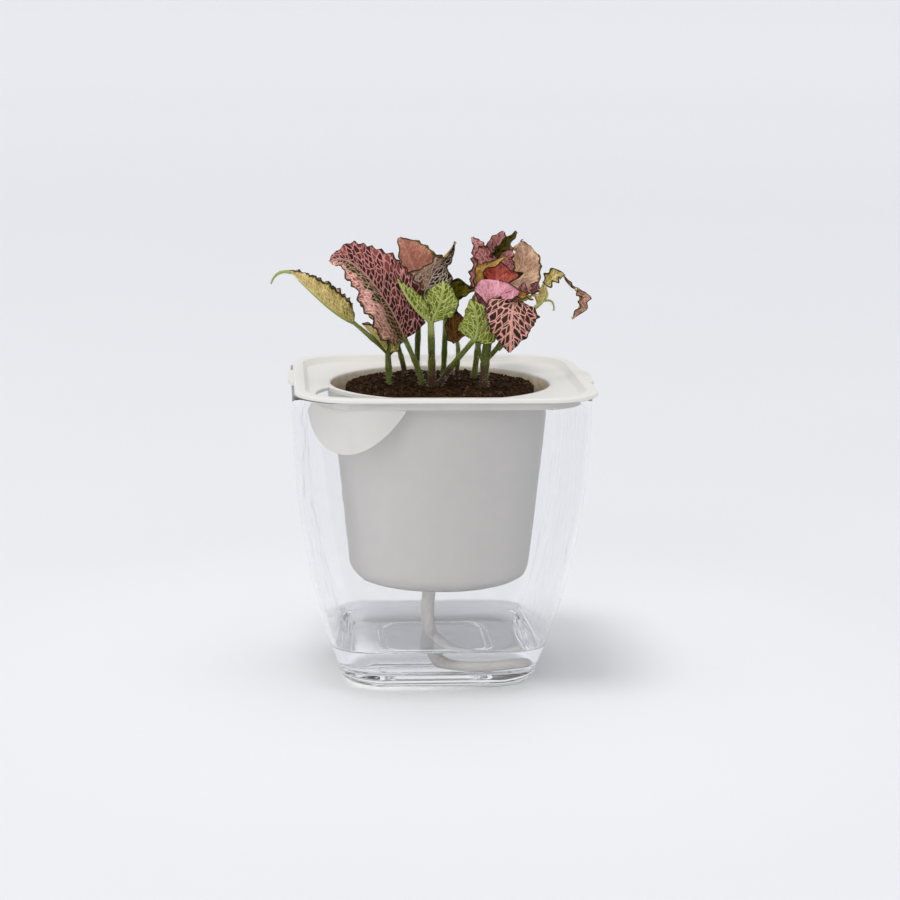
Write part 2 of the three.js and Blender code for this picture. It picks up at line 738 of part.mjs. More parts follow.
        left: [20, 50], right: [20, 60], wave: [0.8, 3, 0.3],
      },
    ],
  },
  shoot_f: {
    material: leafPink,
    stems: [
      {
        rooted: true, radius: [1.85, 1.7],
        path: [[19, -7, 119], [18.9, -7, 126], [19.6, -7, 134.3], [21, -7, 142]],
      },
      {
        radius: [1.5, 0.9],
        path: [[21, -7, 141], [20.5, -8.5, 143.5], [20.5, -10.5, 147], [21, -12, 151.5]],
      },
      {
        radius: [1.1, 0.8],
        path: [[20.4, -7, 131], [23.9, -10, 134.7], [29.5, -11, 142.2], [31.5, -11.5, 156]],
      },
      {
        radius: [1, 0.8],
        path: [[24.5, -8.5, 134.8], [29.7, -5, 140], [35.6, -2, 145.9], [41, 0, 151.5]],
      },
      {
        radius: [0.9, 0.7],
        path: [[18.8, -6.5, 129], [17, -4, 133], [16, -3, 137], [15.5, -2, 141]],
      },
      {
        radius: [1.2, 0.8],
        path: [[21, -7, 141], [21, -7, 146], [24, -6, 151.5], [25.5, -4, 158]],
      },
      {
        radius: [0.5, 0.3],
        path: [[44, 0, 153.4], [46.5, 0, 154.6], [48.4, -0.5, 153], [47.8, -1, 149.6]],
      },
      {
        radius: [0.6, 0.5],
        path: [[31.5, -11.5, 155.5], [34, -10.5, 154.8], [37, -9.5, 155.5], [38.5, -9, 158]],
      },
      {
        radius: [0.7, 0.6],
        path: [[31.5, -11.5, 155.5], [32.5, -11.5, 155.7], [33.2, -11.5, 156.3], [33.6, -11.6, 157]],
      },
    ],
    leaves: [
      {
        spine: [[31.5, -12, 156], [28, -21, 155.5], [28, -24, 145.5], [28, -22, 135.5]],
        face: [[0, -0.3, 0.95], [0, -0.98, 0.1]], wide: 10.5, peak: 0.75,
        left: [-5, -20], right: [12, 0, -5, -20], wave: [0.7, 2, 0.2],
      },
      {
        spine: [[21, -12, 151], [22, -13.5, 155], [23, -13.5, 159.5], [24, -11, 163]],
        face: [[0, -0.9, 0.3], [0, -0.7, 0.7]], wide: 9.5, peak: 1.7,
        left: [10, 20], right: [10, 20], wave: [0.6, 2, 0.2],
      },
      {
        spine: [[33.5, -11.6, 156.2], [33.1, -11, 158.2], [33.5, -11, 160.4], [34.8, -11.6, 162.3]],
        face: [[0.1, -0.9, 0.3], [0.1, -0.9, 0.3]], wide: 5.6,
        left: [20, 80], right: [20, 80], wave: [0.3, 3, 0.2],
      },
      {
        spine: [[38.5, -9, 157.2], [38, -8.5, 159], [38.6, -8.5, 161.3], [40.6, -9.5, 162.3]],
        face: [[0.1, -0.9, 0.3], [0.1, -0.9, 0.3]], wide: 4.5,
        left: [20, 90], right: [20, 90], wave: [0.3, 3, 0.2],
      },
      {
        spine: [[24.5, -13.5, 154], [28.4, -16, 157.4], [33, -15.5, 157.4], [37.8, -13.2, 155.6]],
        face: [[0, -0.6, 0.8], [0, -0.6, 0.8]], wide: 3.2,
        left: [20, 40], right: [20, 40], wave: [0.4, 4, 0.2],
      },
      {
        spine: [[41, 0, 151], [44.5, 0, 153.5], [46, 0, 157], [43.3, 0, 161.2]],
        face: [[-0.2, 0.8, 0.3], [-0.2, 0.8, 0.3]], wide: 4.5,
        left: [30, 60], right: [30, 60], wave: [0.6, 2, 0.2],
      },
      {
        spine: [[43.5, 0, 160.3], [47, 0, 161], [48.6, 0, 166], [51.8, 0, 163.6]],
        face: [[0, -0.7, 0.7], [0.3, -0.8, 0.5]], wide: 3.4,
        left: [20, 30], right: [20, 30], wave: [1.2, 3, 0.2],
      },
      {
        spine: [[51.6, 0, 164], [53.4, 0, 160.6], [54.4, 0, 159.6], [56.8, 0, 158.4]],
        face: [[0, -0.7, 0.7], [0.3, -0.8, 0.5]], wide: 1.3,
        left: [40, 50], right: [40, 50], wave: [0.3, 2, 0.2],
      },
      {
        spine: [[56.6, 0, 158.5], [59.4, 0, 155.5], [60.4, -1, 151], [55, -3, 147]],
        face: [[0.4, -0.8, 0.4], [0.6, -0.8, 0.2]], wide: 3.2,
        left: [30, 40], right: [30, 40], wave: [0.8, 3, 0.2],
      },
      {
        spine: [[25.3, -3.2, 157.2], [24, 1.5, 161.5], [24, 3, 166.5], [25, 0.5, 170.5]],
        face: [[0, -0.9, 0.5], [0, -0.95, 0.1]], wide: 11.6, peak: 0.8,
        left: [20, 65], right: [15, 35], wave: [0.8, 3, 0.2],
      },
      {
        spine: [[24.6, -5, 157.5], [11, -8, 160], [14.5, -8, 169], [28, -6, 171.5]],
        face: [[0, -0.8, 0.5], [0, -0.8, 0.5]], wide: 2.6,
        left: [20, 30], right: [20, 30], wave: [1, 3, 0.2],
      },
      {
        spine: [[15.5, -2, 140.5], [15, 0, 147], [14, -1, 152], [16, -5, 156.5]],
        face: [[0.4, 0.8, 0.1], [0.4, 0.8, 0.1]], wide: 5,
        left: [20, 60], right: [20, 60], wave: [0.8, 3, 0.2],
      },
      {
        spine: [[16, -4.8, 155.2], [16.6, -8, 153.8], [15.6, -9.2, 155], [14.8, -9.6, 158.2]],
        face: [[0.2, -0.9, 0.3], [0.2, -0.9, 0.3]], wide: 4.4,
        left: [20, 80], right: [20, 80], wave: [0.3, 3, 0.2],
      },
    ],
  },
  shoot_g: {
    material: leafGreen,
    stems: [
      {
        rooted: true, radius: [1.1, 1],
        path: [[-11.6, 22, 119], [-12.1, 22, 123.2], [-13.9, 20, 129.5], [-15.6, 20, 134.5]],
      },
    ],
    leaves: [
      {
        spine: [[-15.6, 20, 134.5], [-20.1, 24, 142.4], [-26.2, 28, 150.3], [-29.5, 30, 156.4]],
        face: [[0.3, -0.6, 0.7], [0.3, -0.6, 0.7]], wide: 11,
        left: [20, 20], right: [20, 20], wave: [1, 3, 0.2],
      },
    ],
  },
  shoot_h: {
    material: leafPink,
    stems: [
      {
        rooted: true, radius: [1.2, 1],
        path: [[-5.9, 32, 119], [-6.3, 28, 128.3], [-6.6, 18, 141.1], [-5.8, 14, 151.1]],
      },
    ],
    leaves: [
      {
        spine: [[-5.8, 14, 151.1], [-5.1, 14, 159.8], [-10.4, 14, 168.2], [-14.5, 11, 178.5]],
        face: [[-0.3, -0.9, 0.2], [-0.3, -0.9, 0.2]], wide: 13,
        left: [35, 60], right: [0, 10], wave: [1, 3, 0.2],
      },
      {
        spine: [[-6, 16, 147], [-4, 22, 154], [0, 29, 159], [5, 34, 158]],
        face: [[0.1, -0.4, 0.9], [0.1, 0, 0.95]], wide: 9.5,
        left: [20, -20], right: [20, -20], wave: [1, 3, 0.4],
      },
    ],
  },
  shoot_i: {
    material: leafPink,
    stems: [
      {
        rooted: true, radius: [1.3, 1.1],
        path: [[16.9, 16, 119], [17.6, 15, 126.8], [18.8, 14, 137.8], [20.5, 14, 149]],
      },
      {
        radius: [1, 0.8],
        path: [[20, 14, 145], [22, 14, 152], [24, 14, 154.5], [27, 14, 156.5]],
      },
      {
        radius: [1, 0.8],
        path: [[18.5, 14.2, 136], [20, 18, 140], [22, 22, 143], [24, 26, 145]],
      },
    ],
    leaves: [
      {
        spine: [[20.4, 14, 148.2], [23, 18, 160], [24, 17, 171], [28.5, 12.5, 180.5]],
        face: [[0.1, -0.95, 0.2], [0, -0.9, -0.1]], wide: 9.5, peak: 1,
        left: [10, 20], right: [10, 20], wave: [1, 3, 0.2],
      },
      {
        spine: [[26.5, 14, 156], [33.5, 18, 159], [39.5, 19, 166.5], [35.5, 15, 176.5]],
        face: [[0.3, 0.8, -0.3], [0.3, 0.8, -0.1]], wide: 9.5,
        left: [5, 30], right: [15, 30], wave: [1.6, 4, 0.2],
      },
      {
        spine: [[23, 16.5, 165], [20, 15, 170], [17, 13, 174], [15.5, 12, 178.5]],
        face: [[0, -0.9, 0.3], [0, -0.9, 0.3]], wide: 3.6,
        left: [10, 30], right: [10, 30], wave: [0.8, 3, 0.2],
      },
      {
        spine: [[24.6, 15.6, 170.5], [29, 12, 172], [30, 10, 178], [33.5, 10, 180.5]],
        face: [[-0.3, -0.9, 0.2], [-0.3, -0.9, 0.2]], wide: 4.6,
        left: [30, 70], right: [30, 70], wave: [0.8, 3, 0.2],
      },
      {
        spine: [[24, 26, 145], [28, 32, 149], [33, 38, 153], [36, 41, 151]],
        face: [[-0.3, -0.4, 0.9], [0.2, 0.2, 0.9]], wide: 9,
        left: [15, -20], right: [15, -20], wave: [1, 3, 0.1],
      },
    ],
  },
};

const planter = new THREE.Group();
planter.add(named('reservoir', reservoir(), clearPlastic));
planter.add(named('water', water(), waterTint));
planter.add(named('wick_tail', solid(cord(WICK_TAIL, WICK_RADIUS, false)), cotton));

const insertGroup = new THREE.Group();
insertGroup.position.x = INSERT_SHIFT;
planter.add(insertGroup);
insertGroup.add(named('insert', insert(), whitePlastic));
const allStems = Object.values(SHOOTS).flatMap((plan) => plan.stems);
insertGroup.add(named('soil', soil(allStems), earth));
insertGroup.add(named('wick_in_soil',
  upright(WICK_RADIUS, CUP_BOTTOM_Z, WICK_IN_SOIL_TOP, WICK_X - INSERT_SHIFT, 0, WICK_SIDES), cotton));

Object.entries(SHOOTS).forEach(([name, plan]) => {
  planter.add(named(name, shoot(plan), plan.material));
});

export default planter;
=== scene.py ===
import math
import random

import bpy
from mathutils import Matrix, Vector, noise


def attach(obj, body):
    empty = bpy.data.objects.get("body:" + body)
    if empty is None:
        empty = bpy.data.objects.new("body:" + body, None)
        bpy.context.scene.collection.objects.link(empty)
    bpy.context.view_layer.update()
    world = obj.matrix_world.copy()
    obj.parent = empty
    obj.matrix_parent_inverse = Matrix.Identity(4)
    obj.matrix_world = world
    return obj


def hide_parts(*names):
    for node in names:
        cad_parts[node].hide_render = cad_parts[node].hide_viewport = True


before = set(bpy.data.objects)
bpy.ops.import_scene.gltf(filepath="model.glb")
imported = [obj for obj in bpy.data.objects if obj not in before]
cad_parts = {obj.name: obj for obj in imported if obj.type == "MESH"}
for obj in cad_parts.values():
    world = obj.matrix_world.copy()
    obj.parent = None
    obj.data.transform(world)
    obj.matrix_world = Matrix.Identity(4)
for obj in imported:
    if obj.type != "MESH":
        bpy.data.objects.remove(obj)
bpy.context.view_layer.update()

MM = 0.001

# Camera: its way and distance from the point that it looks at, which lies VIEW_ASIDE to the right and
# VIEW_HEIGHT up
VIEW_DISTANCE = 961.28
VIEW_AZIMUTH = -4.476
VIEW_ELEVATION = 10.761
VIEW_ROLL = 0.638
VIEW_LENS = 93.07
VIEW_ASIDE = 5.92
VIEW_HEIGHT = 91.59

# Reservoir and water. Forms called HALF are half widths, and a rounding is a share of the half width
RIM_Z = 121
RIM_HALF = 59.5
FOOT_CURVE_HALF = 37.6
SIDE_POWER = 2.2
POT_ROUNDING = 0.385
WALL = 2
FOOT_HALF = 32
FOOT_EDGE = 7
FLOOR_Z = 5.5
FLOOR_HALF = 29.5
FLOOR_EDGE = 6
GROOVE_INNER = 20.5
GROOVE_OUTER = 23.5
GROOVE_DEPTH = 2
WATER_Z = 16.5
WATER_GAP = 0.05
MENISCUS = 0.9
PLASTIC_IOR = 1.47
WATER_IOR = 1.333

# Insert
INSERT_X = 1.5
LIP_HALF = 60
LIP_ROUNDING = 0.375
LIP_TOP = 122.8
LIP_INNER = 55.6
TRAY_HALF = 54
TRAY_TOP = 120.2
TRAY_UNDER = 118.7
SKIRT_HALF = 55.5
SKIRT_BOTTOM = 117.6
CUP_WALL = 1.5
CUP_RADIUS = 46.4
CUP_FOOT_RADIUS = 38.6
CUP_FOOT_Z = 46.5
CUP_BOTTOM_Z = 39.3
CUP_FLAT_RADIUS = 30
MOUTH_RADIUS = 45.3
PORT_CENTRE = -28.5
PORT_RADIUS = 23
PORT_CLEAR_RADIUS = 48
GUIDE_CENTRE = -27
GUIDE_RADIUS = 27.2
GUIDE_THICK = 1.5
GUIDE_DROP = 18.9
GUIDE_END_DROP = 0.6
GUIDE_TURN = 240
GUIDE_HALF_ANGLE = 52
TAB_REACH = 62.3
TAB_HALF_LENGTH = 10
TAB_BLEND = 10
TAB_ROOT = 4
TAB_CUTS = 39
DRAIN_RADIUS = 3.4

# Painted shade on the insert changes between these heights, and these distances from the cup's axis
# Above these heights the tray and lip have painted shade
UPPER_SHADE_Z = (116.5, 118.5)
# Below these heights and within these distances the cup's wall has deeper painted shade
CUP_SHADE_TOP_Z = (114.5, 116.5)
CUP_SHADE_EDGE = (47.2, 48.2)
# Above these heights and within these distances the cup's mouth has painted warm shade and soil reflection
MOUTH_SHADE_Z = (108, 112)
MOUTH_SHADE_EDGE = (44.6, 45.2)

# Wick. Its strands make one turn in the lay length, and the furrows between them are as deep as FURROW
WICK_RADIUS = 2.75
WICK_X = -1.5
STRANDS = 8
LAY_LENGTH = 26
FURROW = 0.28
WICK_SIDES = 48
DAMP_Z = (30, 16)
WICK_ROUTE = [
    (-1.5, 0, 39), (-1.9, 0.4, 34.5), (-2.4, 0.8, 30), (-2.7, 0.7, 25.5), (-2.7, -0.3, 21),
    (-2.3, -2.7, 17), (-1.3, -6.4, 13.4), (0.3, -11, 10.9), (2.2, -16.2, 9.7), (4.4, -21.4, 9.2),
    (7.2, -26.3, 9.1), (10.9, -30.3, 9.2), (15.6, -32.6, 9.3), (20.8, -33, 9.5), (25.8, -31.6, 9.8),
    (30, -28.5, 10), (33, -24.4, 9.8),
]

# Soil, uneven above SOIL_EVEN_Z. The last kind of crumb, FIBRE, is drawn out long
SOIL_RADIUS = 38.9
SOIL_Z = 119
SOIL_BOTTOM = 41.1
SOIL_EVEN_Z = 108
SOIL_STEP = 0.75
CRUMBS = 1300
FIBRE = 3
SMALL_CRUMB = (0.25, 0.5)
LARGE_CRUMB = (0.55, 0.9)
SMALL_SHARE = 0.88

# Leaves and stems. A unit of a leaf's or the wick's UV map is UV_UNIT long, and a midrib lies at half of
# one. Teeth start at TEETH_FROM of the way from the midrib to the margin. Where a leaf's half is narrower
# than NARROW its teeth are smaller, and than BROAD its ruffles are lower.
UV_UNIT = 100
LEAF_THICK = 0.45
LEAF_STEP = 0.5
TOOTH = 1.5
TOOTH_PITCH = 2.9
TOOTH_TIP = 0.62
TOOTH_CURL = 0.9
SIDE_SHIFT = 0.37
TEETH_FROM = 0.75
CURL_FROM = 0.8
NARROW = 4
BROAD = 6
LEAST_HALF = 0.35
RUFFLE = 0.6
RUFFLE_PITCH = 5.1
SIDE_VEIN_PITCH = 4.6
SIDE_VEIN_SLOPE = 0.9
PUFF = 0.5
RIB_END = 0.82
RIB_START = 0.8
RIB_DEPTH = 0.3
RIB_RADIUS = 0.8
RIB_TAPER = 0.6
KNUCKLE = 0.16
KNUCKLE_WIDTH = 0.05
KNUCKLE_PLACE = (0.35, 0.6)
ROOT_BOTTOM = 106
BROWN_Z = (119, 129)
YOUNG_Z = (136, 148)
HAIRS_PER_MM = 6.5
HAIR_RADIUS = 0.05
HAIR_LENGTH = (0.5, 1.4)
HAIR_LEAN = (-0.2, 0.6)

# Fineness of turned forms and of rounded corners and edges
ROUND_SIDES = 144
SOIL_SIDES = 220
FLOOR_SIDES = 96
DRAIN_SIDES = 48
CORNER_STEPS = 16
EDGE_STEPS = 8
CUP_STEPS = 10
STEM_STEPS = 26
RIB_STEPS = 22

# Floor and light. The floor's rings start a little below the pot's foot and turn up far away. A lamp has a
# place and a width in metres, a power in watts and a colour
FLOOR_RINGS = [(2400, -0.3), (2700, 25), (2950, 110), (3130, 270), (3230, 500), (3260, 900)]
# Painted light on the floor: lighter near the pot, filling its shadow, fading out over these millimetres
NEAR_FLOOR_LIGHT = (60, 280)
# Painted light on the far floor and wall, lighter where less lamp light falls, over these millimetres
FAR_FLOOR_LIGHT = (300, 3000)
CLEAR_BOUNCES = 32
SKY_COLOUR = (0.965, 0.975, 1.0, 1)
SKY_STRENGTH = 0.85
LAMP_AIM = (0, 0, 0.09)
LAMPS = [
    ("key", (-0.55, -0.62, 3.2), 1.1, 32, (1.0, 0.98, 0.95)),
    ("fill", (-0.9, -2.4, 0.8), 1.8, 10, (1.0, 0.99, 0.97)),
]


# Working by hand: selecting, shaping and finishing

def choose(*pieces):
    bpy.ops.object.select_all(action="DESELECT")
    for piece in pieces:
        piece.select_set(True)
    bpy.context.view_layer.objects.active = pieces[0]


def edit(piece):
    choose(piece)
    bpy.ops.object.mode_set(mode="EDIT")


def apply_all(piece):
    choose(piece)
    for modifier in list(piece.modifiers):
        bpy.ops.object.modifier_apply(modifier=modifier.name)


def place_here(piece):
    """Puts the object's place, turn and size into its mesh."""
    choose(piece)
    bpy.ops.object.transform_apply(location=True, rotation=True, scale=True)


def smooth(piece, degrees=40):
    choose(piece)
    bpy.ops.object.shade_smooth_by_angle(angle=math.radians(degrees))


def merge(pieces, name):
    choose(*pieces)
    bpy.ops.object.join()
    whole = bpy.context.object
    whole.name = name
    whole.data.name = name
    return whole


def drawn_up(name, rings, rounding=None, at=(0, 0), sides=ROUND_SIDES):
    """A closed form drawn ring by ring from its first face to its last. A ring is (half width, height).
    With a rounding it is a rounded square, whose corner radius is that share of the half width."""
    half, z = rings[0]
    centre = (at[0] * MM, at[1] * MM, z * MM)
    bpy.ops.object.select_all(action="DESELECT")
    if rounding is None:
        bpy.ops.mesh.primitive_circle_add(
            vertices=sides, radius=half * MM, fill_type="NGON", location=centre,
        )
    else:
        bpy.ops.mesh.primitive_plane_add(size=2 * half * MM, location=centre)
    piece = bpy.context.object
    piece.name = name
    bpy.ops.object.mode_set(mode="EDIT")
    bpy.ops.mesh.select_all(action="SELECT")
    if rounding is not None:
        bpy.ops.mesh.bevel(
            offset=rounding * half * MM, segments=CORNER_STEPS, affect="VERTICES", offset_type="OFFSET",
        )
        bpy.ops.mesh.select_all(action="SELECT")
    for next_half, next_z in rings[1:]:
        bpy.ops.mesh.extrude_region_move(TRANSFORM_OT_translate={"value": (0, 0, (next_z - z) * MM)})
        if next_half != half:
            factor = next_half / half
            bpy.ops.transform.resize(value=(factor, factor, 1), center_override=centre)
        half, z = next_half, next_z
    bpy.ops.mesh.select_all(action="SELECT")
    bpy.ops.mesh.normals_make_consistent(inside=False)
    bpy.ops.object.mode_set(mode="OBJECT")
    place_here(piece)
    return piece


def combine(piece, other, operation):
    """Joins the other form to the piece, or cuts it out, and uses it up."""
    modifier = piece.modifiers.new("combine", "BOOLEAN")
    modifier.operation = operation
    modifier.solver = "MANIFOLD"
    modifier.object = other
    apply_all(piece)
    bpy.data.objects.remove(other)


def quarter(steps):
    """Sine and cosine of evenly spaced angles over a quarter turn."""
    angles = [math.pi / 2 * step / steps for step in range(steps + 1)]
    return [(math.sin(angle), math.cos(angle)) for angle in angles]


def share_of(low, high, value):
    """0 at low, 1 at high, eased between."""
    t = min(1, max(0, (value - low) / (high - low)))
    return t * t * (3 - 2 * t)


def bezier(path, t):
    """The point of a Bezier path at t, and its way there."""
    a, b, c, d = (Vector(point) for point in path)
    place = a * (1 - t) ** 3 + b * (3 * t * (1 - t) ** 2) + c * (3 * t * t * (1 - t)) + d * t ** 3
    way = (b - a) * (1 - t) ** 2 + (c - b) * (2 * t * (1 - t)) + (d - c) * t * t
    return place, way.normalized()


def bezier_length(path):
    points = [bezier(path, step / 20)[0] for step in range(21)]
    return sum((q - p).length for p, q in zip(points, points[1:]))


# Materials

def linear(hex_colour):
    """A colour as written for a screen, as the linear light that the shaders use."""
    parts = [int(hex_colour[i:i + 2], 16) / 255 for i in (0, 2, 4)]
    return tuple(c / 12.92 if c <= 0.04045 else ((c + 0.055) / 1.055) ** 2.4 for c in parts) + (1,)


class Finish:
    """A material and short calls to wire its nodes. Each call returns the new node's output."""

    def __init__(self, name):
        self.material = bpy.data.materials.new(name)
        self.material.use_nodes = True
        self.tree = self.material.node_tree
        self.shader = self.tree.nodes["Principled BSDF"]

    def feed(self, socket, value):
        """Wires the value to the socket, or sets it there."""
        if isinstance(value, bpy.types.NodeSocket):
            self.tree.links.new(value, socket)
        else:
            socket.default_value = linear(value) if isinstance(value, str) else value

    def node(self, kind, inputs=(), output=0, **settings):
        node = self.tree.nodes.new(kind)
        for key, value in settings.items():
            setattr(node, key, value)
        for socket, value in dict(inputs).items():
            self.feed(node.inputs[socket], value)
        return node.outputs[output]

    def sum(self, operation, a, b=0.0):
        return self.node("ShaderNodeMath", {0: a, 1: b}, operation=operation)

    def vector_sum(self, operation, a, b=(0, 0, 0), scale=1.0, output=0):
        return self.node("ShaderNodeVectorMath", {0: a, 1: b, 3: scale}, output, operation=operation)

    def shift(self, value, amount):
        """A value round 0.5 as a shift of up to half the amount each way."""
        return self.sum("MULTIPLY", self.sum("SUBTRACT", value, 0.5), amount)

    def parts(self, vector):
        """The three outputs x, y and z of a vector."""
        return self.node("ShaderNodeSeparateXYZ", {0: vector}).node.outputs

    def eased(self, value, low, high, start=0.0, end=1.0):
        return self.node(
            "ShaderNodeMapRange",
            {"Value": value, "From Min": low, "From Max": high, "To Min": start, "To Max": end},
            interpolation_type="SMOOTHSTEP",
        )

    def past(self, value, span, start=0.0, end=1.0):
        """Eased over a span given in millimetres."""
        return self.eased(value, span[0] * MM, span[1] * MM, start, end)

    def blend(self, factor, a, b):
        return self.node("ShaderNodeMix", {0: factor, 6: a, 7: b}, 2, data_type="RGBA")

    def object_place(self):
        return self.node("ShaderNodeTexCoord", output="Object")

    def noise(self, vector, scale, detail=2.0, roughness=0.5, output=0):
        return self.node(
            "ShaderNodeTexNoise",
            {"Vector": vector, "Scale": scale, "Detail": detail, "Roughness": roughness}, output,
        )

    def speckle(self, vector, size, detail=3.0, roughness=0.5):
        """Noise whose lumps are about size millimetres wide."""
        return self.noise(vector, 1 / (size * MM), detail, roughness)

    def relief(self, height, distance, strength=1.0, **under):
        """Bumps of a height in millimetres, over the normal that under may give."""
        inputs = {"Height": height, "Distance": distance * MM, "Strength": strength, **under}
        return self.node("ShaderNodeBump", inputs)

    def set(self, **values):
        """Sets or wires the shader's own sockets, named with underscores."""
        for key, value in values.items():
            self.feed(self.shader.inputs[key.replace("_", " ")], value)

    def let_lamps_through(self):
        """The lamps shine through as if it weren't there, so it casts no shadow."""
        clear = self.node("ShaderNodeBsdfTransparent", {"Color": "ffffff"})
        lamp = self.node("ShaderNodeLightPath", output="Is Shadow Ray")
        mixed = self.node("ShaderNodeMixShader", {0: lamp, 1: self.shader.outputs[0], 2: clear})
        self.tree.links.new(mixed, self.tree.nodes["Material Output"].inputs["Surface"])


def clear_plastic(name, ior):
    """Clear, faintly cool plastic with fine moulding waves. Where it is wet, ior is the step from water."""
    f = Finish(name)
    place = f.object_place()
    waves = f.speckle(place, 14, detail=2)
    smears = f.speckle(place, 5, detail=5, roughness=0.65)
    f.set(
        Base_Color=f.blend(f.eased(smears, 0.35, 0.75), "fbfbfc", "fefefe"),
        Roughness=f.eased(smears, 0.5, 0.8, 0.01, 0.04),
        IOR=ior, Transmission_Weight=1.0,
        Normal=f.relief(waves, 0.25, strength=0.35),
    )
    f.let_lamps_through()
    return f.material


def pool_water(name, ior):
    """Still water. Its sides and bottom touch the plastic, so there the light isn't bent again."""
    f = Finish(name)
    ripples = f.speckle(f.object_place(), 16, detail=1)
    f.set(
        Base_Color=f.blend(ripples, "fafafc", "fdfdfd"), Roughness=0.0, IOR=ior, Transmission_Weight=1.0,
        Normal=f.relief(ripples, 0.2, strength=0.25),
    )
    f.let_lamps_through()
    return f.material


def white_plastic():
    """Warm white moulded plastic with a fine grain and faint dust. Painted shade makes the tray and lip
    greyer than the guide sheet and the cup's thin wall greyer still, and the inside of its mouth has a
    painted warm shade and reflection of the soil."""
    f = Finish("white_plastic")
    place = f.object_place()
    grain = f.speckle(place, 0.5, detail=2)
    cloud = f.speckle(place, 26)
    dust = f.speckle(place, 3.2, detail=6, roughness=0.7)
    height = f.parts(place)[2]
    flat = f.vector_sum("MULTIPLY", place, (1, 1, 0))
    radius = f.vector_sum("DISTANCE", flat, (INSERT_X * MM, 0, 0), output="Value")
    upper = f.past(height, UPPER_SHADE_Z)
    wall = f.sum("MULTIPLY", f.past(radius, CUP_SHADE_EDGE, 1.0, 0.0), f.past(height, CUP_SHADE_TOP_Z, 1.0, 0.0))
    mouth = f.sum("MULTIPLY", f.past(radius, MOUTH_SHADE_EDGE, 1.0, 0.0), f.past(height, MOUTH_SHADE_Z))
    base = f.blend(f.eased(cloud, 0.3, 0.7), "e9e6e0", "eeece7")
    # Painted shade: the tray and lip are greyer than the guide sheet
    base = f.blend(f.sum("MULTIPLY", upper, 0.8), base, "d9d7d2")
    # Deeper painted shade on the cup's wall below the tray
    base = f.blend(f.sum("MULTIPLY", wall, 0.9), base, "cfccc9")
    # Painted warm shade and painted reflection of the soil inside the cup's mouth, speckled
    base = f.blend(mouth, base, f.blend(f.eased(dust, 0.4, 0.7), "f2e2c6", "cfba98"))
    f.set(
        Base_Color=f.blend(f.eased(dust, 0.58, 0.8, 0.0, 0.25), base, "d5d0c6"),
        Roughness=f.eased(cloud, 0.3, 0.7, 0.36, 0.46),
        Subsurface_Weight=0.08, Subsurface_Radius=(0.004, 0.0035, 0.003), Subsurface_Scale=1.0,
        Normal=f.relief(grain, 0.03, strength=0.5),
    )
    return f.material


def cotton_cord():
    """Cotton yarn. Its fibres follow the cord's own UV map, its stains and its damp end go by its place."""
    f = Finish("cotton_cord")
    place = f.object_place()
    uv = f.node("ShaderNodeUVMap", uv_map="cord")
    stretched = f.node("ShaderNodeMapping", {"Vector": uv, "Scale": (60, 900, 1)})
    fibres = f.noise(stretched, 1.0, 4.0, 0.6)
    cloud = f.speckle(place, 5)
    dry = f.blend(fibres, "d9d6d1", "fbfaf7")
    wet = f.blend(fibres, "c9c5c0", "efebe6")
    colour = f.blend(f.sum("MULTIPLY", f.past(f.parts(place)[2], DAMP_Z), 0.6), dry, wet)
    f.set(
        Base_Color=f.blend(f.eased(cloud, 0.4, 0.75, 0.0, 0.3), colour, "cfc7ba"),
        Roughness=f.eased(cloud, 0.3, 0.8, 0.8, 0.95), Sheen_Weight=0.35, Sheen_Roughness=0.5,
        Normal=f.relief(fibres, 0.18, strength=0.8),
    )
    return f.material


def potting_soil(name, pale=0.0):
    """Dark peat with lighter fibre and grit. pale lifts the colour of single crumbs."""
    f = Finish(name)
    place = f.object_place()
    lumps = f.speckle(place, 2.4, detail=6, roughness=0.7)
    crumbs = f.node("ShaderNodeTexVoronoi", {"Vector": place, "Scale": 1 / (0.9 * MM)}, "Color")
    shade = f.node("ShaderNodeSeparateColor", {0: crumbs})
    fleck = f.eased(shade, 0.9 - pale, 0.97 - pale)
    dark = f.blend(f.eased(lumps, 0.35, 0.7), "140a03", "402812")
    f.set(
        Base_Color=f.blend(f.sum("MULTIPLY", fleck, 0.7), dark, "6c4e2c"),
        Roughness=f.eased(lumps, 0.3, 0.7, 0.82, 0.98), Specular_IOR_Level=0.08,
        Normal=f.relief(f.sum("ADD", lumps, shade), 0.5, strength=0.9),
    )
    return f.material


def stem_skin():
    """Green stem that turns brown near the soil and paler towards its top, with lengthwise streaks."""
    f = Finish("stem_skin")
    place = f.object_place()
    drawn = f.node("ShaderNodeMapping", {"Vector": place, "Scale": (1, 1, 0.22)})
    streaks = f.noise(drawn, 1400.0, 4.0, 0.6)
    cloud = f.speckle(place, 4)
    patches = f.speckle(place, 16, detail=1)
    uneven = f.sum("ADD", f.parts(place)[2], f.shift(cloud, 0.010))
    uneven = f.sum("ADD", uneven, f.shift(patches, 0.045))
    green = f.blend(streaks, "36400e", "78842f")
    young = f.blend(f.past(uneven, YOUNG_Z), green, "9aa45a")
    brown = f.blend(streaks, "26170a", "62442c")
    f.set(
        Base_Color=f.blend(f.past(uneven, BROWN_Z), brown, young),
        Roughness=f.eased(cloud, 0.3, 0.7, 0.45, 0.6), Specular_IOR_Level=0.25,
        Subsurface_Weight=0.15, Subsurface_Radius=(0.002, 0.0025, 0.001), Subsurface_Scale=0.6,
        Normal=f.relief(streaks, 0.12, strength=0.6),
    )
    return f.material


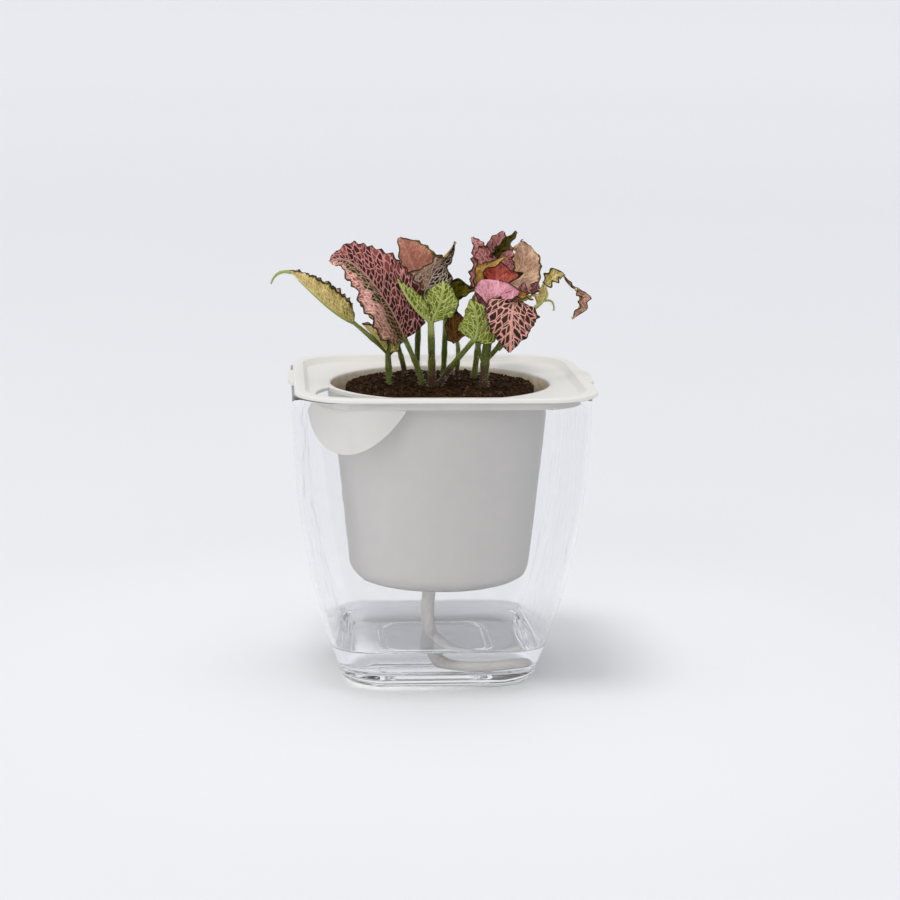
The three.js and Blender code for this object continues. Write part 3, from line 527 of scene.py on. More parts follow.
def rib_skin():
    """Pinkish midrib of the reddish leaves."""
    f = Finish("rib_skin")
    streaks = f.speckle(f.object_place(), 0.8, detail=4)
    f.set(
        Base_Color=f.blend(streaks, "9c6a4e", "d0a488"), Roughness=f.eased(streaks, 0.3, 0.7, 0.45, 0.6),
        Normal=f.relief(streaks, 0.1, strength=0.5),
    )
    return f.material


def plant_hair():
    f = Finish("plant_hair")
    cloud = f.speckle(f.object_place(), 2)
    f.set(Base_Color=f.blend(cloud, "d9d2bf", "f6f2e8"), Roughness=0.6)
    return f.material


def leaf_finish(name, cell, patch, vein, net=0.3, rib=0.4, size=2.1, halo=None, halo_to=0.4,
                halo_amount=0.9, edge="3a331a", edge_from=0.935, low=None, low_to=0.35, net_amount=1.0,
                patch_from=0.5, order=0.75, vein_low=None):
    """Skin of one side of a leaf. Cells of two colours, cell and patch, lie in a net of veins of one colour.
    net and rib are the half widths of the net's veins and of the side veins in millimetres, size that of
    the cells. halo colours the cells beside the midrib, low the foot of the leaf, edge its margin. The
    pattern follows the leaf: its UV map holds the way across and along, its attribute the shares of both."""
    f = Finish(name)
    uv = f.node("ShaderNodeUVMap", uv_map="leaf")
    out, along, seed = f.parts(f.node("ShaderNodeAttribute", attribute_name="leaf_shares", output="Vector"))
    across, reach, _ = f.parts(f.vector_sum("SCALE", uv, scale=UV_UNIT))
    seeded = f.node("ShaderNodeCombineXYZ", {0: across, 1: reach, 2: f.sum("MULTIPLY", seed, 50.0)})
    sway = f.vector_sum("SUBTRACT", f.noise(seeded, 0.22, output="Color"), (0.5, 0.5, 0.5))
    bent = f.parts(f.vector_sum("ADD", seeded, f.vector_sum("SCALE", sway, scale=2.6)))
    aside = f.sum("ABSOLUTE", f.sum("SUBTRACT", bent[0], UV_UNIT / 2))
    rise = f.sum("SUBTRACT", bent[1], f.sum("MULTIPLY", aside, SIDE_VEIN_SLOPE))
    sheared = f.node("ShaderNodeCombineXYZ", {0: f.sum("MULTIPLY", bent[0], 1.15), 1: rise})
    layout = {"Vector": sheared, "Scale": 1 / size, "Randomness": order}
    gap = f.node("ShaderNodeTexVoronoi", layout, feature="DISTANCE_TO_EDGE", voronoi_dimensions="2D")
    tone = f.node("ShaderNodeTexVoronoi", layout, "Color", voronoi_dimensions="2D")
    tone = f.node("ShaderNodeSeparateColor", {0: tone})
    cloud = f.noise(seeded, 0.16, 4.0, 0.6)
    grain = f.noise(seeded, 1.7, 4.0, 0.6)

    from_net = f.sum("MULTIPLY", gap, size)
    from_side = f.sum("PINGPONG", rise, SIDE_VEIN_PITCH / 2)
    from_middle = f.sum("ABSOLUTE", f.sum("SUBTRACT", across, UV_UNIT / 2))
    net_vein = f.sum("MULTIPLY", f.eased(from_net, net * 0.4, net, 1.0, 0.0), net_amount)
    narrowing = f.sum("ADD", f.sum("MULTIPLY", out, -0.5 * rib), rib)
    side_vein = f.eased(f.sum("DIVIDE", from_side, narrowing), 0.4, 1.0, 1.0, 0.0)
    mid_vein = f.eased(from_middle, 0.3, 0.7, 1.0, 0.0)
    veins = f.sum("MAXIMUM", net_vein, f.sum("MAXIMUM", side_vein, mid_vein))

    mixed = f.sum("ADD", f.sum("MULTIPLY", cloud, 0.7), f.sum("MULTIPLY", tone, 0.3))
    cells = f.blend(f.eased(mixed, patch_from - 0.07, patch_from + 0.07), cell, patch)
    if halo:
        rim = f.sum("ADD", out, f.shift(mixed, 0.9))
        near_middle = f.eased(rim, halo_to * 0.5, halo_to + 0.1, halo_amount, 0.0)
        cells = f.blend(near_middle, cells, halo)
    cells = f.blend(f.eased(grain, 0.35, 0.75, 0.0, 0.3), cells, "100a04")
    lines = f.blend(f.eased(grain, 0.35, 0.75, 0.0, 0.22), vein, "3a2010")
    if vein_low:
        lines = f.blend(f.eased(along, 0.0, low_to + 0.1, 0.9, 0.0), lines, vein_low)
    if vein_low and halo:
        lines = f.blend(f.sum("MULTIPLY", near_middle, 0.8), lines, vein_low)
    if low:
        cells = f.blend(f.eased(along, 0.0, low_to, 0.9, 0.0), cells, low)
    colour = f.blend(f.sum("MULTIPLY", veins, 0.95), cells, lines)
    ragged = f.sum("ADD", out, f.shift(grain, 0.2))
    colour = f.blend(f.eased(ragged, edge_from - 0.03, edge_from + 0.05), colour, edge)
    sunk_veins = f.relief(f.eased(from_net, 0.0, 0.8), 0.22, strength=0.8)
    f.set(
        Base_Color=colour, Roughness=f.eased(grain, 0.3, 0.7, 0.46, 0.62), Specular_IOR_Level=0.2,
        Subsurface_Weight=0.12, Subsurface_Radius=(0.0012, 0.0008, 0.0005), Subsurface_Scale=0.4,
        Normal=f.relief(grain, 0.08, strength=0.5, Normal=sunk_veins),
    )
    return f.material


# Leaf skins, named for their look. Each leaf wears one on each upper half and one beneath
LEAF_SKINS = {
    # These two dress one leaf's upper halves and differ by painted light: one lit, one in shade
    "salmon": dict(cell="b25e4c", patch="da9282", vein="f4d0c4", size=2.2, halo="241a08", halo_to=0.5,
                   halo_amount=0.97, low="2c1e0a", low_to=0.42, vein_low="8a7446", patch_from=0.46),
    "magenta": dict(cell="3c1210", patch="84403c", vein="cf8c86", net=0.26, size=2.0, halo="24120a",
                    halo_to=0.4, low="241206", low_to=0.62, edge="33200f", patch_from=0.52),
    "coral": dict(cell="d6907a", patch="e8a48c", vein="eab4a2", net=0.2, size=1.8, net_amount=0.5, rib=0.22,
                  low="a87a48", low_to=0.5, edge="5c6420", edge_from=0.9),
    "dark_net": dict(cell="271f0c", patch="3a3216", vein="ead6ca", net=0.27, size=2.0, rib=0.34, order=0.6,
                     edge="3c3a18"),
    "blush_net": dict(cell="8e6444", patch="b98a6c", vein="f0d6c4", size=1.8, edge="4a4420"),
    "rose_net": dict(cell="26160a", patch="402210", vein="e2a296", net=0.38, size=2.7, rib=0.42,
                     edge="3a1e14", halo="2c240c", halo_to=0.5),
    "bright_pink": dict(cell="cc7f8e", patch="e29cac", vein="eeb2be", net=0.2, size=1.8, rib=0.24,
                        edge="6a3a30", edge_from=0.93, net_amount=0.7),
    "plum_pink": dict(cell="aa5654", patch="d0807f", vein="edaeb0", net=0.24, size=1.9, edge="3a3218",
                      halo="8a4a3e", halo_to=0.3),
    "ember": dict(cell="ac3a26", patch="c8584a", vein="d87262", net=0.16, size=1.9, net_amount=0.5, rib=0.2,
                  edge="6a5a1c", edge_from=0.86, low="6e2414", low_to=0.3),
    "flame": dict(cell="c0503c", patch="d87060", vein="e08c80", net=0.2, size=1.8, net_amount=0.6, rib=0.24,
                  edge="3a1c10", edge_from=0.84),
    "peach": dict(cell="c48c6c", patch="e0b494", vein="f0d0bc", net=0.22, size=1.9, net_amount=0.7,
                  rib=0.26, edge="4a3818"),
    "olive": dict(cell="403806", patch="786e12", vein="92882a", net=0.2, size=1.9, net_amount=0.7, rib=0.28,
                  edge="2a1608", edge_from=0.86),
    "umber": dict(cell="5c3414", patch="7a4a1e", vein="a07038", net=0.24, size=1.9, edge="6a5a2a",
                  edge_from=0.88),
    "under_straw": dict(cell="b8a250", patch="ceb46c", vein="e6d49c", net=0.22, size=1.8, rib=0.26,
                        edge="2e3010", edge_from=0.88, low="8f8c2c", low_to=0.5, net_amount=0.8),
    "under_lime": dict(cell="606e16", patch="788422", vein="b8bc74", net=0.26, size=2.0, rib=0.34,
                       order=0.6, edge="3c3a14", edge_from=0.93),
    "under_olive": dict(cell="403806", patch="70640e", vein="968a2c", net=0.24, size=1.9, edge="241c08",
                        edge_from=0.85),
    "under_peach": dict(cell="cc9c78", patch="e4b694", vein="f2d4be", net=0.22, size=1.9, net_amount=0.6,
                        rib=0.26, edge="5a4a24", edge_from=0.9),
    "under_rose": dict(cell="a07058", patch="b88a70", vein="d8b09c", net=0.26, size=1.9, edge="4a4220"),
    "under_gold": dict(cell="8a6a1c", patch="a87a30", vein="c49a54", net=0.22, size=1.9, edge="33280c",
                       edge_from=0.88),
}


# The rooted shoots, as in the part. Points are in millimetres and angles in degrees

def stem(foot_radius, top_radius, *path, rooted=False):
    """A stem along a Bezier path. A rooted one goes on down into the soil."""
    return {"radius": (foot_radius, top_radius), "path": path, "rooted": rooted}


def rooted(*form):
    return stem(*form, rooted=True)


def leaf(skin, wide, *spine, face, bend, wave, tip_face=None, right=None, peak=0.85, teeth=1):
    """A leaf along a Bezier spine. skin names the two upper halves and the underside, or less where they are
    alike. wide is its largest half width, which lies nearer to the tip as peak grows. face is the way its
    upper side looks at its base, tip_face at its tip. bend holds the fold and curl angles of its left half
    at the base, and at the tip where they differ, right those of an unlike right half. wave is the height,
    number and phase of its waves, and teeth makes its teeth larger or smaller."""
    left_skin, *others = skin.split()
    underside = others.pop() if others else left_skin
    return {
        "skin": (left_skin, others[0] if others else left_skin, underside), "wide": wide, "spine": spine,
        "face": (face, tip_face or face), "left": bend, "right": right or bend, "wave": wave,
        "peak": peak, "teeth": teeth,
    }


SHOOTS = {
    "shoot_a": {"slot": "leaf_green", "stems": [
        rooted(1.3, 1.2, (-19.5, -1.6, 119), (-19.6, -1.6, 124), (-20, -1.8, 129), (-20.1, -2, 134.5)),
        stem(1.1, 0.8, (-20.1, -2, 132.5), (-24.3, -4, 136.7), (-30.1, -6, 141.9), (-34.6, -8, 145.8)),
        stem(0.9, 0.7, (-19.8, -2, 131.5), (-18, -1, 133.4), (-15.8, 0, 135.7), (-13.7, 2, 137.1)),
        stem(0.8, 0.35, (-59.4, -8, 165.9), (-63.2, -8, 166.9), (-66.4, -8, 165.6), (-67.6, -8, 161.2)),
    ], "leaves": [
        leaf("blush_net under_straw", 7.5, (-34.6, -8, 145.8), (-43.9, -9, 149.5), (-53.6, -9, 161),
             (-60.4, -8, 166.5), face=(0.6, -0.1, 0.8), tip_face=(0.5, -0.1, 0.9), bend=(60, 50),
             right=(60, 30), wave=(1, 4, 0.1), peak=0.66, teeth=1.3),
        leaf("blush_net under_straw", 6.5, (-19.6, -3, 133), (-18.5, -3, 139), (-22, -3, 145.5),
             (-30.2, -3.2, 151.2), face=(0.3, 0.9, 0.2), tip_face=(0.3, 0.9, 0.4), bend=(20, 50),
             wave=(0.8, 3, 0.2), peak=0.6, teeth=1.2),
        leaf("blush_net under_straw", 4, (-21, -3.5, 133.8), (-24.4, -6, 138.6), (-27.3, -7, 142),
             (-31, -7, 145), face=(0.5, -0.3, 0.8), bend=(45, 50), wave=(0.6, 3, 0.1)),
        leaf("coral under_rose", 7, (-13.7, 2, 137.1), (-13.2, 5, 141.6), (-14.7, 8, 147.9),
             (-18, 8, 154.5), face=(-0.3, -0.9, 0.3), bend=(15, 30), wave=(0.8, 3, 0.3)),
    ]},
    "shoot_b": {"slot": "leaf_pink", "stems": [
        rooted(1.2, 1, (-6, -3.6, 119), (-6.2, -4.2, 123.5), (-10.5, -7, 132.2), (-14, -8, 140)),
    ], "leaves": [
        # Painted light: the left upper half is painted lighter, as lit, the right half darker, as in shade
        leaf("salmon magenta under_rose", 14.5, (-14, -8, 139.5), (-19, -14, 153), (-35, -18, 178),
             (-44, -17, 171), face=(0.23, -0.89, 0.46), tip_face=(0.1, -0.8, 0.6), bend=(28, 0, 15, 10),
             right=(32, 0, 22, -35), wave=(1, 4, 0.15), peak=0.62),
    ]},
    "shoot_c": {"slot": "leaf_green", "stems": [
        rooted(1.6, 1.3, (-2.4, -7, 119), (-2.4, -8, 128.5), (-3, -12, 137), (-3.5, -15, 147)),
        stem(0.9, 0.8, (-3.5, -14.3, 145.5), (-4.5, -11.5, 147.8), (-5.5, -7.5, 149.6), (-6, -4.5, 152.7)),
    ], "leaves": [
        leaf("blush_net under_lime", 7.4, (-3.3, -15, 147), (-1, -15.5, 151), (1.8, -14.5, 157),
             (1.5, -12, 163), face=(-0.1, 0.98, -0.1), tip_face=(-0.1, 0.98, -0.3), bend=(5, 10),
             right=(10, 20), wave=(0.7, 2, 0.2), peak=1.1, teeth=0.45),
        leaf("blush_net under_lime", 5, (-4, -15.4, 147), (-9, -18, 150.5), (-14, -19.5, 156.5),
             (-17.3, -18.5, 164.5), face=(0.5, 0.6, 0.5), bend=(50, 20), right=(40, 20), wave=(0.7, 3, 0.2),
             teeth=0.5),
        leaf("blush_net dark_net under_gold", 12.5, (-6, -4.5, 152.2), (-5.5, -2.5, 160), (-1, 1, 167),
             (7.8, 3.5, 177), face=(-0.2, -0.9, 0.3), tip_face=(0.4, -0.85, 0.4), bend=(20, 10, 85, 25),
             right=(5, 10, 20, 110), wave=(1, 3, 0.2), peak=0.5, teeth=0.7),
    ]},
    "shoot_d": {"slot": "leaf_green", "stems": [
        rooted(1.2, 1.1, (1.2, -3.6, 119), (1.4, -5, 122.6), (7, -12.5, 130.5), (13.8, -17.5, 140)),
    ], "leaves": [
        leaf("rose_net under_lime", 8.4, (13.8, -17.5, 139.5), (16.5, -17.5, 145), (15, -16.5, 150.5),
             (12, -16, 156), face=(0.1, 0.95, -0.1), tip_face=(0.2, 0.9, -0.2), bend=(12, 8), right=(5, 15),
             wave=(0.6, 3, 0.3), peak=0.5, teeth=0.6),
    ]},
    "shoot_e": {"slot": "leaf_green", "stems": [
        rooted(1.2, 1, (4, 19, 119), (4.5, 16, 126), (4, 10, 136), (4, 7, 145)),
        rooted(1, 0.8, (9, 11, 119), (9.2, 9, 125.6), (10.1, 7, 132.4), (8.5, 4, 137)),
        stem(0.9, 0.7, (4, 7, 143.5), (4, 6.5, 146), (4, 6, 148), (4, 6, 150)),
        stem(0.8, 0.8, (8.8, 4.5, 136.5), (7.5, 6, 140), (5.5, 7, 142), (4, 7, 143.5)),
    ], "leaves": [
        leaf("umber under_olive", 6, (8.5, 3, 136.5), (6.5, 0.5, 140.5), (6, -1, 146), (7, -1.5, 151),
             face=(0.2, -0.95, 0.2), tip_face=(0.2, -0.9, 0.2), bend=(20, 40), wave=(0.6, 3, 0.3),
             teeth=0.8),
        leaf("olive under_olive", 8.4, (4, 6, 149), (6, 2, 155), (9.5, -3, 159), (14.5, -4.5, 158),
             face=(0.1, -0.9, 0.3), bend=(20, 50), right=(20, 60), wave=(0.8, 3, 0.3)),
    ]},
    "shoot_f": {"slot": "leaf_pink", "stems": [
        rooted(1.85, 1.7, (19, -7, 119), (18.9, -7, 126), (19.6, -7, 134.3), (21, -7, 142)),
        stem(1.5, 0.9, (21, -7, 141), (20.5, -8.5, 143.5), (20.5, -10.5, 147), (21, -12, 151.5)),
        stem(1.1, 0.8, (20.4, -7, 131), (23.9, -10, 134.7), (29.5, -11, 142.2), (31.5, -11.5, 156)),
        stem(1, 0.8, (24.5, -8.5, 134.8), (29.7, -5, 140), (35.6, -2, 145.9), (41, 0, 151.5)),
        stem(0.9, 0.7, (18.8, -6.5, 129), (17, -4, 133), (16, -3, 137), (15.5, -2, 141)),
        stem(1.2, 0.8, (21, -7, 141), (21, -7, 146), (24, -6, 151.5), (25.5, -4, 158)),
        stem(0.5, 0.3, (44, 0, 153.4), (46.5, 0, 154.6), (48.4, -0.5, 153), (47.8, -1, 149.6)),
        stem(0.6, 0.5, (31.5, -11.5, 155.5), (34, -10.5, 154.8), (37, -9.5, 155.5), (38.5, -9, 158)),
        stem(0.7, 0.6, (31.5, -11.5, 155.5), (32.5, -11.5, 155.7), (33.2, -11.5, 156.3),
             (33.6, -11.6, 157)),
    ], "leaves": [
        leaf("rose_net under_rose", 10.5, (31.5, -12, 156), (28, -21, 155.5), (28, -24, 145.5),
             (28, -22, 135.5), face=(0, -0.3, 0.95), tip_face=(0, -0.98, 0.1), bend=(-5, -20),
             right=(12, 0, -5, -20), wave=(0.7, 2, 0.2), peak=0.75, teeth=0.7),
        leaf("bright_pink under_rose", 9.5, (21, -12, 151), (22, -13.5, 155), (23, -13.5, 159.5),
             (24, -11, 163), face=(0, -0.9, 0.3), tip_face=(0, -0.7, 0.7), bend=(10, 20),
             wave=(0.6, 2, 0.2), peak=1.7, teeth=0.8),
        leaf("plum_pink bright_pink", 5.6, (33.5, -11.6, 156.2), (33.1, -11, 158.2), (33.5, -11, 160.4),
             (34.8, -11.6, 162.3), face=(0.1, -0.9, 0.3), bend=(20, 80), wave=(0.3, 3, 0.2)),
        leaf("plum_pink", 4.5, (38.5, -9, 157.2), (38, -8.5, 159), (38.6, -8.5, 161.3), (40.6, -9.5, 162.3),
             face=(0.1, -0.9, 0.3), bend=(20, 90), wave=(0.3, 3, 0.2)),
        leaf("under_gold", 3.2, (24.5, -13.5, 154), (28.4, -16, 157.4), (33, -15.5, 157.4),
             (37.8, -13.2, 155.6), face=(0, -0.6, 0.8), bend=(20, 40), wave=(0.4, 4, 0.2), teeth=0.6),
        leaf("blush_net under_straw", 4.5, (41, 0, 151), (44.5, 0, 153.5), (46, 0, 157), (43.3, 0, 161.2),
             face=(-0.2, 0.8, 0.3), bend=(30, 60), wave=(0.6, 2, 0.2)),
        leaf("under_straw", 3.4, (43.5, 0, 160.3), (47, 0, 161), (48.6, 0, 166), (51.8, 0, 163.6),
             face=(0, -0.7, 0.7), tip_face=(0.3, -0.8, 0.5), bend=(20, 30), wave=(1.2, 3, 0.2)),
        leaf("under_rose under_straw", 1.3, (51.6, 0, 164), (53.4, 0, 160.6), (54.4, 0, 159.6),
             (56.8, 0, 158.4), face=(0, -0.7, 0.7), tip_face=(0.3, -0.8, 0.5), bend=(40, 50),
             wave=(0.3, 2, 0.2)),
        leaf("under_rose under_straw", 3.2, (56.6, 0, 158.5), (59.4, 0, 155.5), (60.4, -1, 151),
             (55, -3, 147), face=(0.4, -0.8, 0.4), tip_face=(0.6, -0.8, 0.2), bend=(30, 40),
             wave=(0.8, 3, 0.2)),
        leaf("ember flame under_gold", 11.6, (25.3, -3.2, 157.2), (24, 1.5, 161.5), (24, 3, 166.5),
             (25, 0.5, 170.5), face=(0, -0.9, 0.5), tip_face=(0, -0.95, 0.1), bend=(20, 65), right=(15, 35),
             wave=(0.8, 3, 0.2), peak=0.8),
        leaf("under_gold", 2.6, (24.6, -5, 157.5), (11, -8, 160), (14.5, -8, 169), (28, -6, 171.5),
             face=(0, -0.8, 0.5), bend=(20, 30), wave=(1, 3, 0.2), teeth=0.9),
        leaf("umber under_olive", 5, (15.5, -2, 140.5), (15, 0, 147), (14, -1, 152), (16, -5, 156.5),
             face=(0.4, 0.8, 0.1), bend=(20, 60), wave=(0.8, 3, 0.2)),
        leaf("plum_pink", 4.4, (16, -4.8, 155.2), (16.6, -8, 153.8), (15.6, -9.2, 155), (14.8, -9.6, 158.2),
             face=(0.2, -0.9, 0.3), bend=(20, 80), wave=(0.3, 3, 0.2)),
    ]},
    "shoot_g": {"slot": "leaf_green", "stems": [
        rooted(1.1, 1, (-11.6, 22, 119), (-12.1, 22, 123.2), (-13.9, 20, 129.5), (-15.6, 20, 134.5)),
    ], "leaves": [
        leaf("plum_pink under_rose", 11, (-15.6, 20, 134.5), (-20.1, 24, 142.4), (-26.2, 28, 150.3),
             (-29.5, 30, 156.4), face=(0.3, -0.6, 0.7), bend=(20, 20), wave=(1, 3, 0.2)),
    ]},
    "shoot_h": {"slot": "leaf_pink", "stems": [
        rooted(1.2, 1, (-5.9, 32, 119), (-6.3, 28, 128.3), (-6.6, 18, 141.1), (-5.8, 14, 151.1)),
    ], "leaves": [
        leaf("coral under_rose", 13, (-5.8, 14, 151.1), (-5.1, 14, 159.8), (-10.4, 14, 168.2),
             (-14.5, 11, 178.5), face=(-0.3, -0.9, 0.2), bend=(35, 60), right=(0, 10), wave=(1, 3, 0.2)),
        leaf("dark_net under_olive", 9.5, (-6, 16, 147), (-4, 22, 154), (0, 29, 159), (5, 34, 158),
             face=(0.1, -0.4, 0.9), tip_face=(0.1, 0, 0.95), bend=(20, -20), wave=(1, 3, 0.4)),
    ]},
    "shoot_i": {"slot": "leaf_pink", "stems": [
        rooted(1.3, 1.1, (16.9, 16, 119), (17.6, 15, 126.8), (18.8, 14, 137.8), (20.5, 14, 149)),
        stem(1, 0.8, (20, 14, 145), (22, 14, 152), (24, 14, 154.5), (27, 14, 156.5)),
        stem(1, 0.8, (18.5, 14.2, 136), (20, 18, 140), (22, 22, 143), (24, 26, 145)),
    ], "leaves": [
        leaf("plum_pink under_rose", 9.5, (20.4, 14, 148.2), (23, 18, 160), (24, 17, 171),
             (28.5, 12.5, 180.5), face=(0.1, -0.95, 0.2), tip_face=(0, -0.9, -0.1), bend=(10, 20),
             wave=(1, 3, 0.2), peak=1),
        leaf("peach under_peach", 9.5, (26.5, 14, 156), (33.5, 18, 159), (39.5, 19, 166.5),
             (35.5, 15, 176.5), face=(0.3, 0.8, -0.3), tip_face=(0.3, 0.8, -0.1), bend=(5, 30),
             right=(15, 30), wave=(1.6, 4, 0.2)),
        leaf("plum_pink under_rose", 3.6, (23, 16.5, 165), (20, 15, 170), (17, 13, 174), (15.5, 12, 178.5),
             face=(0, -0.9, 0.3), bend=(10, 30), wave=(0.8, 3, 0.2)),
        leaf("olive under_olive", 4.6, (24.6, 15.6, 170.5), (29, 12, 172), (30, 10, 178), (33.5, 10, 180.5),
             face=(-0.3, -0.9, 0.2), bend=(30, 70), wave=(0.8, 3, 0.2)),
        leaf("rose_net under_rose", 9, (24, 26, 145), (28, 32, 149), (33, 38, 153), (36, 41, 151),
             face=(-0.3, -0.4, 0.9), tip_face=(0.2, 0.2, 0.9), bend=(15, -20), wave=(1, 3, 0.1)),
    ]},
}


# Camera

def add_camera():
    azimuth, elevation, roll = (math.radians(a) for a in (VIEW_AZIMUTH, VIEW_ELEVATION, VIEW_ROLL))
    back = Vector((
        math.sin(azimuth) * math.cos(elevation), -math.cos(azimuth) * math.cos(elevation),
        math.sin(elevation),
    ))
    right = Vector((math.cos(azimuth), math.sin(azimuth), 0))
    up = back.cross(right)
    eye = Vector((0, 0, VIEW_HEIGHT)) + right * VIEW_ASIDE + back * VIEW_DISTANCE
    across = right * math.cos(roll) + up * math.sin(roll)
    upward = up * math.cos(roll) - right * math.sin(roll)
    bpy.ops.object.camera_add()
    camera = bpy.context.object
    camera.matrix_world = Matrix.Translation(eye * MM) @ Matrix((across, upward, back)).transposed().to_4x4()
    camera.data.lens = VIEW_LENS
    camera.data.clip_start = 0.05
    bpy.context.scene.camera = camera


# Wick: a twisted cotton cord, whose free tail hangs in the water

def smooth_route(points, steps):
    """A curve through the points, as close points in order."""
    points = [Vector(p) for p in points]
    ends = [points[0] * 2 - points[1], *points, points[-1] * 2 - points[-2]]
    route = []
    for a, b, c, d in zip(ends, ends[1:], ends[2:], ends[3:]):
        for step in range(steps):
            t = step / steps
            route.append((
                b * 2 + (c - a) * t + (a * 2 - b * 5 + c * 4 - d) * t * t + (b * 3 - a - c * 3 + d) * t ** 3
            ) / 2)
    return [*route, points[-1]]


def add_wick():
    route = smooth_route(WICK_ROUTE, 10)
    vertices, faces, uvs = [], [], []
    across = Vector((1, 0.2, 0))
    reach = 0
    for i, centre in enumerate(route):
        way = (route[min(i + 1, len(route) - 1)] - route[max(i - 1, 0)]).normalized()
        if i:
            reach += (centre - route[i - 1]).length
        across = (across - way * across.dot(way)).normalized()
        other = way.cross(across)
        for side in range(WICK_SIDES):
            turn = 2 * math.pi * side / WICK_SIDES
            strand = abs(math.cos(STRANDS / 2 * (turn - 2 * math.pi * reach / LAY_LENGTH)))
            radius = WICK_RADIUS - FURROW * (1 - strand) ** 1.5 + 0.05 * math.cos(26 * turn - 7 * reach)
            radius += 0.07 * noise.noise(Vector((turn * 2, reach * 0.9, 3)))
            spot = centre + across * (radius * math.cos(turn)) + other * (radius * math.sin(turn))
            vertices.append(spot * MM)
            uvs.append((side / WICK_SIDES, reach / UV_UNIT))
    last_row = (len(route) - 1) * WICK_SIDES
    for row in range(0, last_row, WICK_SIDES):
        for side in range(WICK_SIDES):
            a, b = row + side, row + (side + 1) % WICK_SIDES
            faces.append((a, b, b + WICK_SIDES, a + WICK_SIDES))
    faces.append(tuple(reversed(range(WICK_SIDES))))
    faces.append(tuple(range(last_row, last_row + WICK_SIDES)))
    mesh = bpy.data.meshes.new("wick")
    mesh.from_pydata(vertices, [], faces)
    layer = mesh.uv_layers.new(name="cord")
    for loop in mesh.loops:
        layer.data[loop.index].uv = uvs[loop.vertex_index]
    wick = bpy.data.objects.new("wick_cord", mesh)
    bpy.context.scene.collection.objects.link(wick)
    mesh.materials.append(cotton_cord())
    smooth(wick, 70)
    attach(wick, "root")
    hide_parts("wick_tail")


# Reservoir and water

def side_half(z):
    """Half width of the reservoir's outside at a height."""
    return RIM_HALF - (RIM_HALF - FOOT_CURVE_HALF) * ((RIM_Z - z) / RIM_Z) ** SIDE_POWER


def turned_up(flat, full, bottom, height, steps=EDGE_STEPS):
    """Rings of a bottom's rounded edge, from its flat middle to its full half width."""
    return [(flat + (full - flat) * s, bottom + height * (1 - c)) for s, c in quarter(steps)]


def edge_rings(bottom, flat_half, inset, edge):
    return turned_up(flat_half, side_half(bottom + edge) - inset, bottom, edge)


def wall_rings(low, high, inset, steps):
    levels = [low + (high - low) * step / steps for step in range(1, steps + 1)]
    return [(side_half(z) - inset, z) for z in levels]


def add_reservoir():
    foot = [
        (GROOVE_INNER, 0.0), (GROOVE_INNER + 0.15, 0.3), (GROOVE_INNER + 0.5, GROOVE_DEPTH),
        (GROOVE_OUTER - 0.5, GROOVE_DEPTH), (GROOVE_OUTER - 0.15, 0.3), (GROOVE_OUTER, 0.0),
    ]
    outside = edge_rings(0, FOOT_HALF, 0, FOOT_EDGE) + wall_rings(FOOT_EDGE, RIM_Z - 0.5, 0, 30)
    rim = [
        (side_half(RIM_Z) - 0.1, RIM_Z - 0.15), (side_half(RIM_Z) - 0.4, RIM_Z),
        (side_half(RIM_Z) - WALL + 0.4, RIM_Z), (side_half(RIM_Z) - WALL + 0.1, RIM_Z - 0.15),
    ]
    inside = edge_rings(FLOOR_Z, FLOOR_HALF, WALL, FLOOR_EDGE)
    inside += wall_rings(FLOOR_Z + FLOOR_EDGE, WATER_Z + MENISCUS, WALL, 2)
    inside += wall_rings(WATER_Z + MENISCUS, RIM_Z - 0.5, WALL, 28)
    pot = drawn_up("clear_reservoir", foot + outside + rim + inside[::-1], POT_ROUNDING)
    pot.data.materials.append(clear_plastic("clear_plastic", PLASTIC_IOR))
    pot.data.materials.append(clear_plastic("wet_plastic", PLASTIC_IOR / WATER_IOR))
    for polygon in pot.data.polygons:
        centre = polygon.center
        inner = polygon.normal.x * centre.x + polygon.normal.y * centre.y < 0 or polygon.normal.z > 0.5
        if inner and (FLOOR_Z - 0.1) * MM < centre.z < (WATER_Z + MENISCUS) * MM:
            polygon.material_index = 1
    smooth(pot, 35)
    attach(pot, "root")
    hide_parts("reservoir")


def add_water():
    inset = WALL + WATER_GAP
    bottom = FLOOR_Z + WATER_GAP
    at_wall = side_half(WATER_Z + MENISCUS) - inset
    rings = edge_rings(bottom, FLOOR_HALF - WATER_GAP, inset, FLOOR_EDGE)
    rings += wall_rings(bottom + FLOOR_EDGE, WATER_Z + MENISCUS, inset, 4)
    rings += [
        (at_wall - 0.35, WATER_Z + 0.45 * MENISCUS), (at_wall - 0.8, WATER_Z + 0.2 * MENISCUS),
        (at_wall - 1.5, WATER_Z + 0.06 * MENISCUS), (at_wall - 2.6, WATER_Z),
    ]
    pool = drawn_up("water_pool", rings, POT_ROUNDING)
    pool.data.materials.append(pool_water("pool_water", WATER_IOR))
    pool.data.materials.append(pool_water("pool_side", 1.0))
    for polygon in pool.data.polygons:
        inside = max(abs(polygon.center.x), abs(polygon.center.y)) < (at_wall - 0.01) * MM
        surface = polygon.normal.z > 0.3 and polygon.center.z > (WATER_Z - 0.1) * MM and inside
        polygon.material_index = 0 if surface else 1
    smooth(pool, 50)
    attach(pool, "root")
    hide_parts("water")


# Insert: lip, sunk tray and cup in one moulding, drawn about the cup's axis

def cup_inner_radius(z):
    rise = (z - CUP_FOOT_Z) / (TRAY_UNDER - CUP_FOOT_Z)
    return CUP_FOOT_RADIUS + (CUP_RADIUS - CUP_FOOT_RADIUS) * rise - CUP_WALL


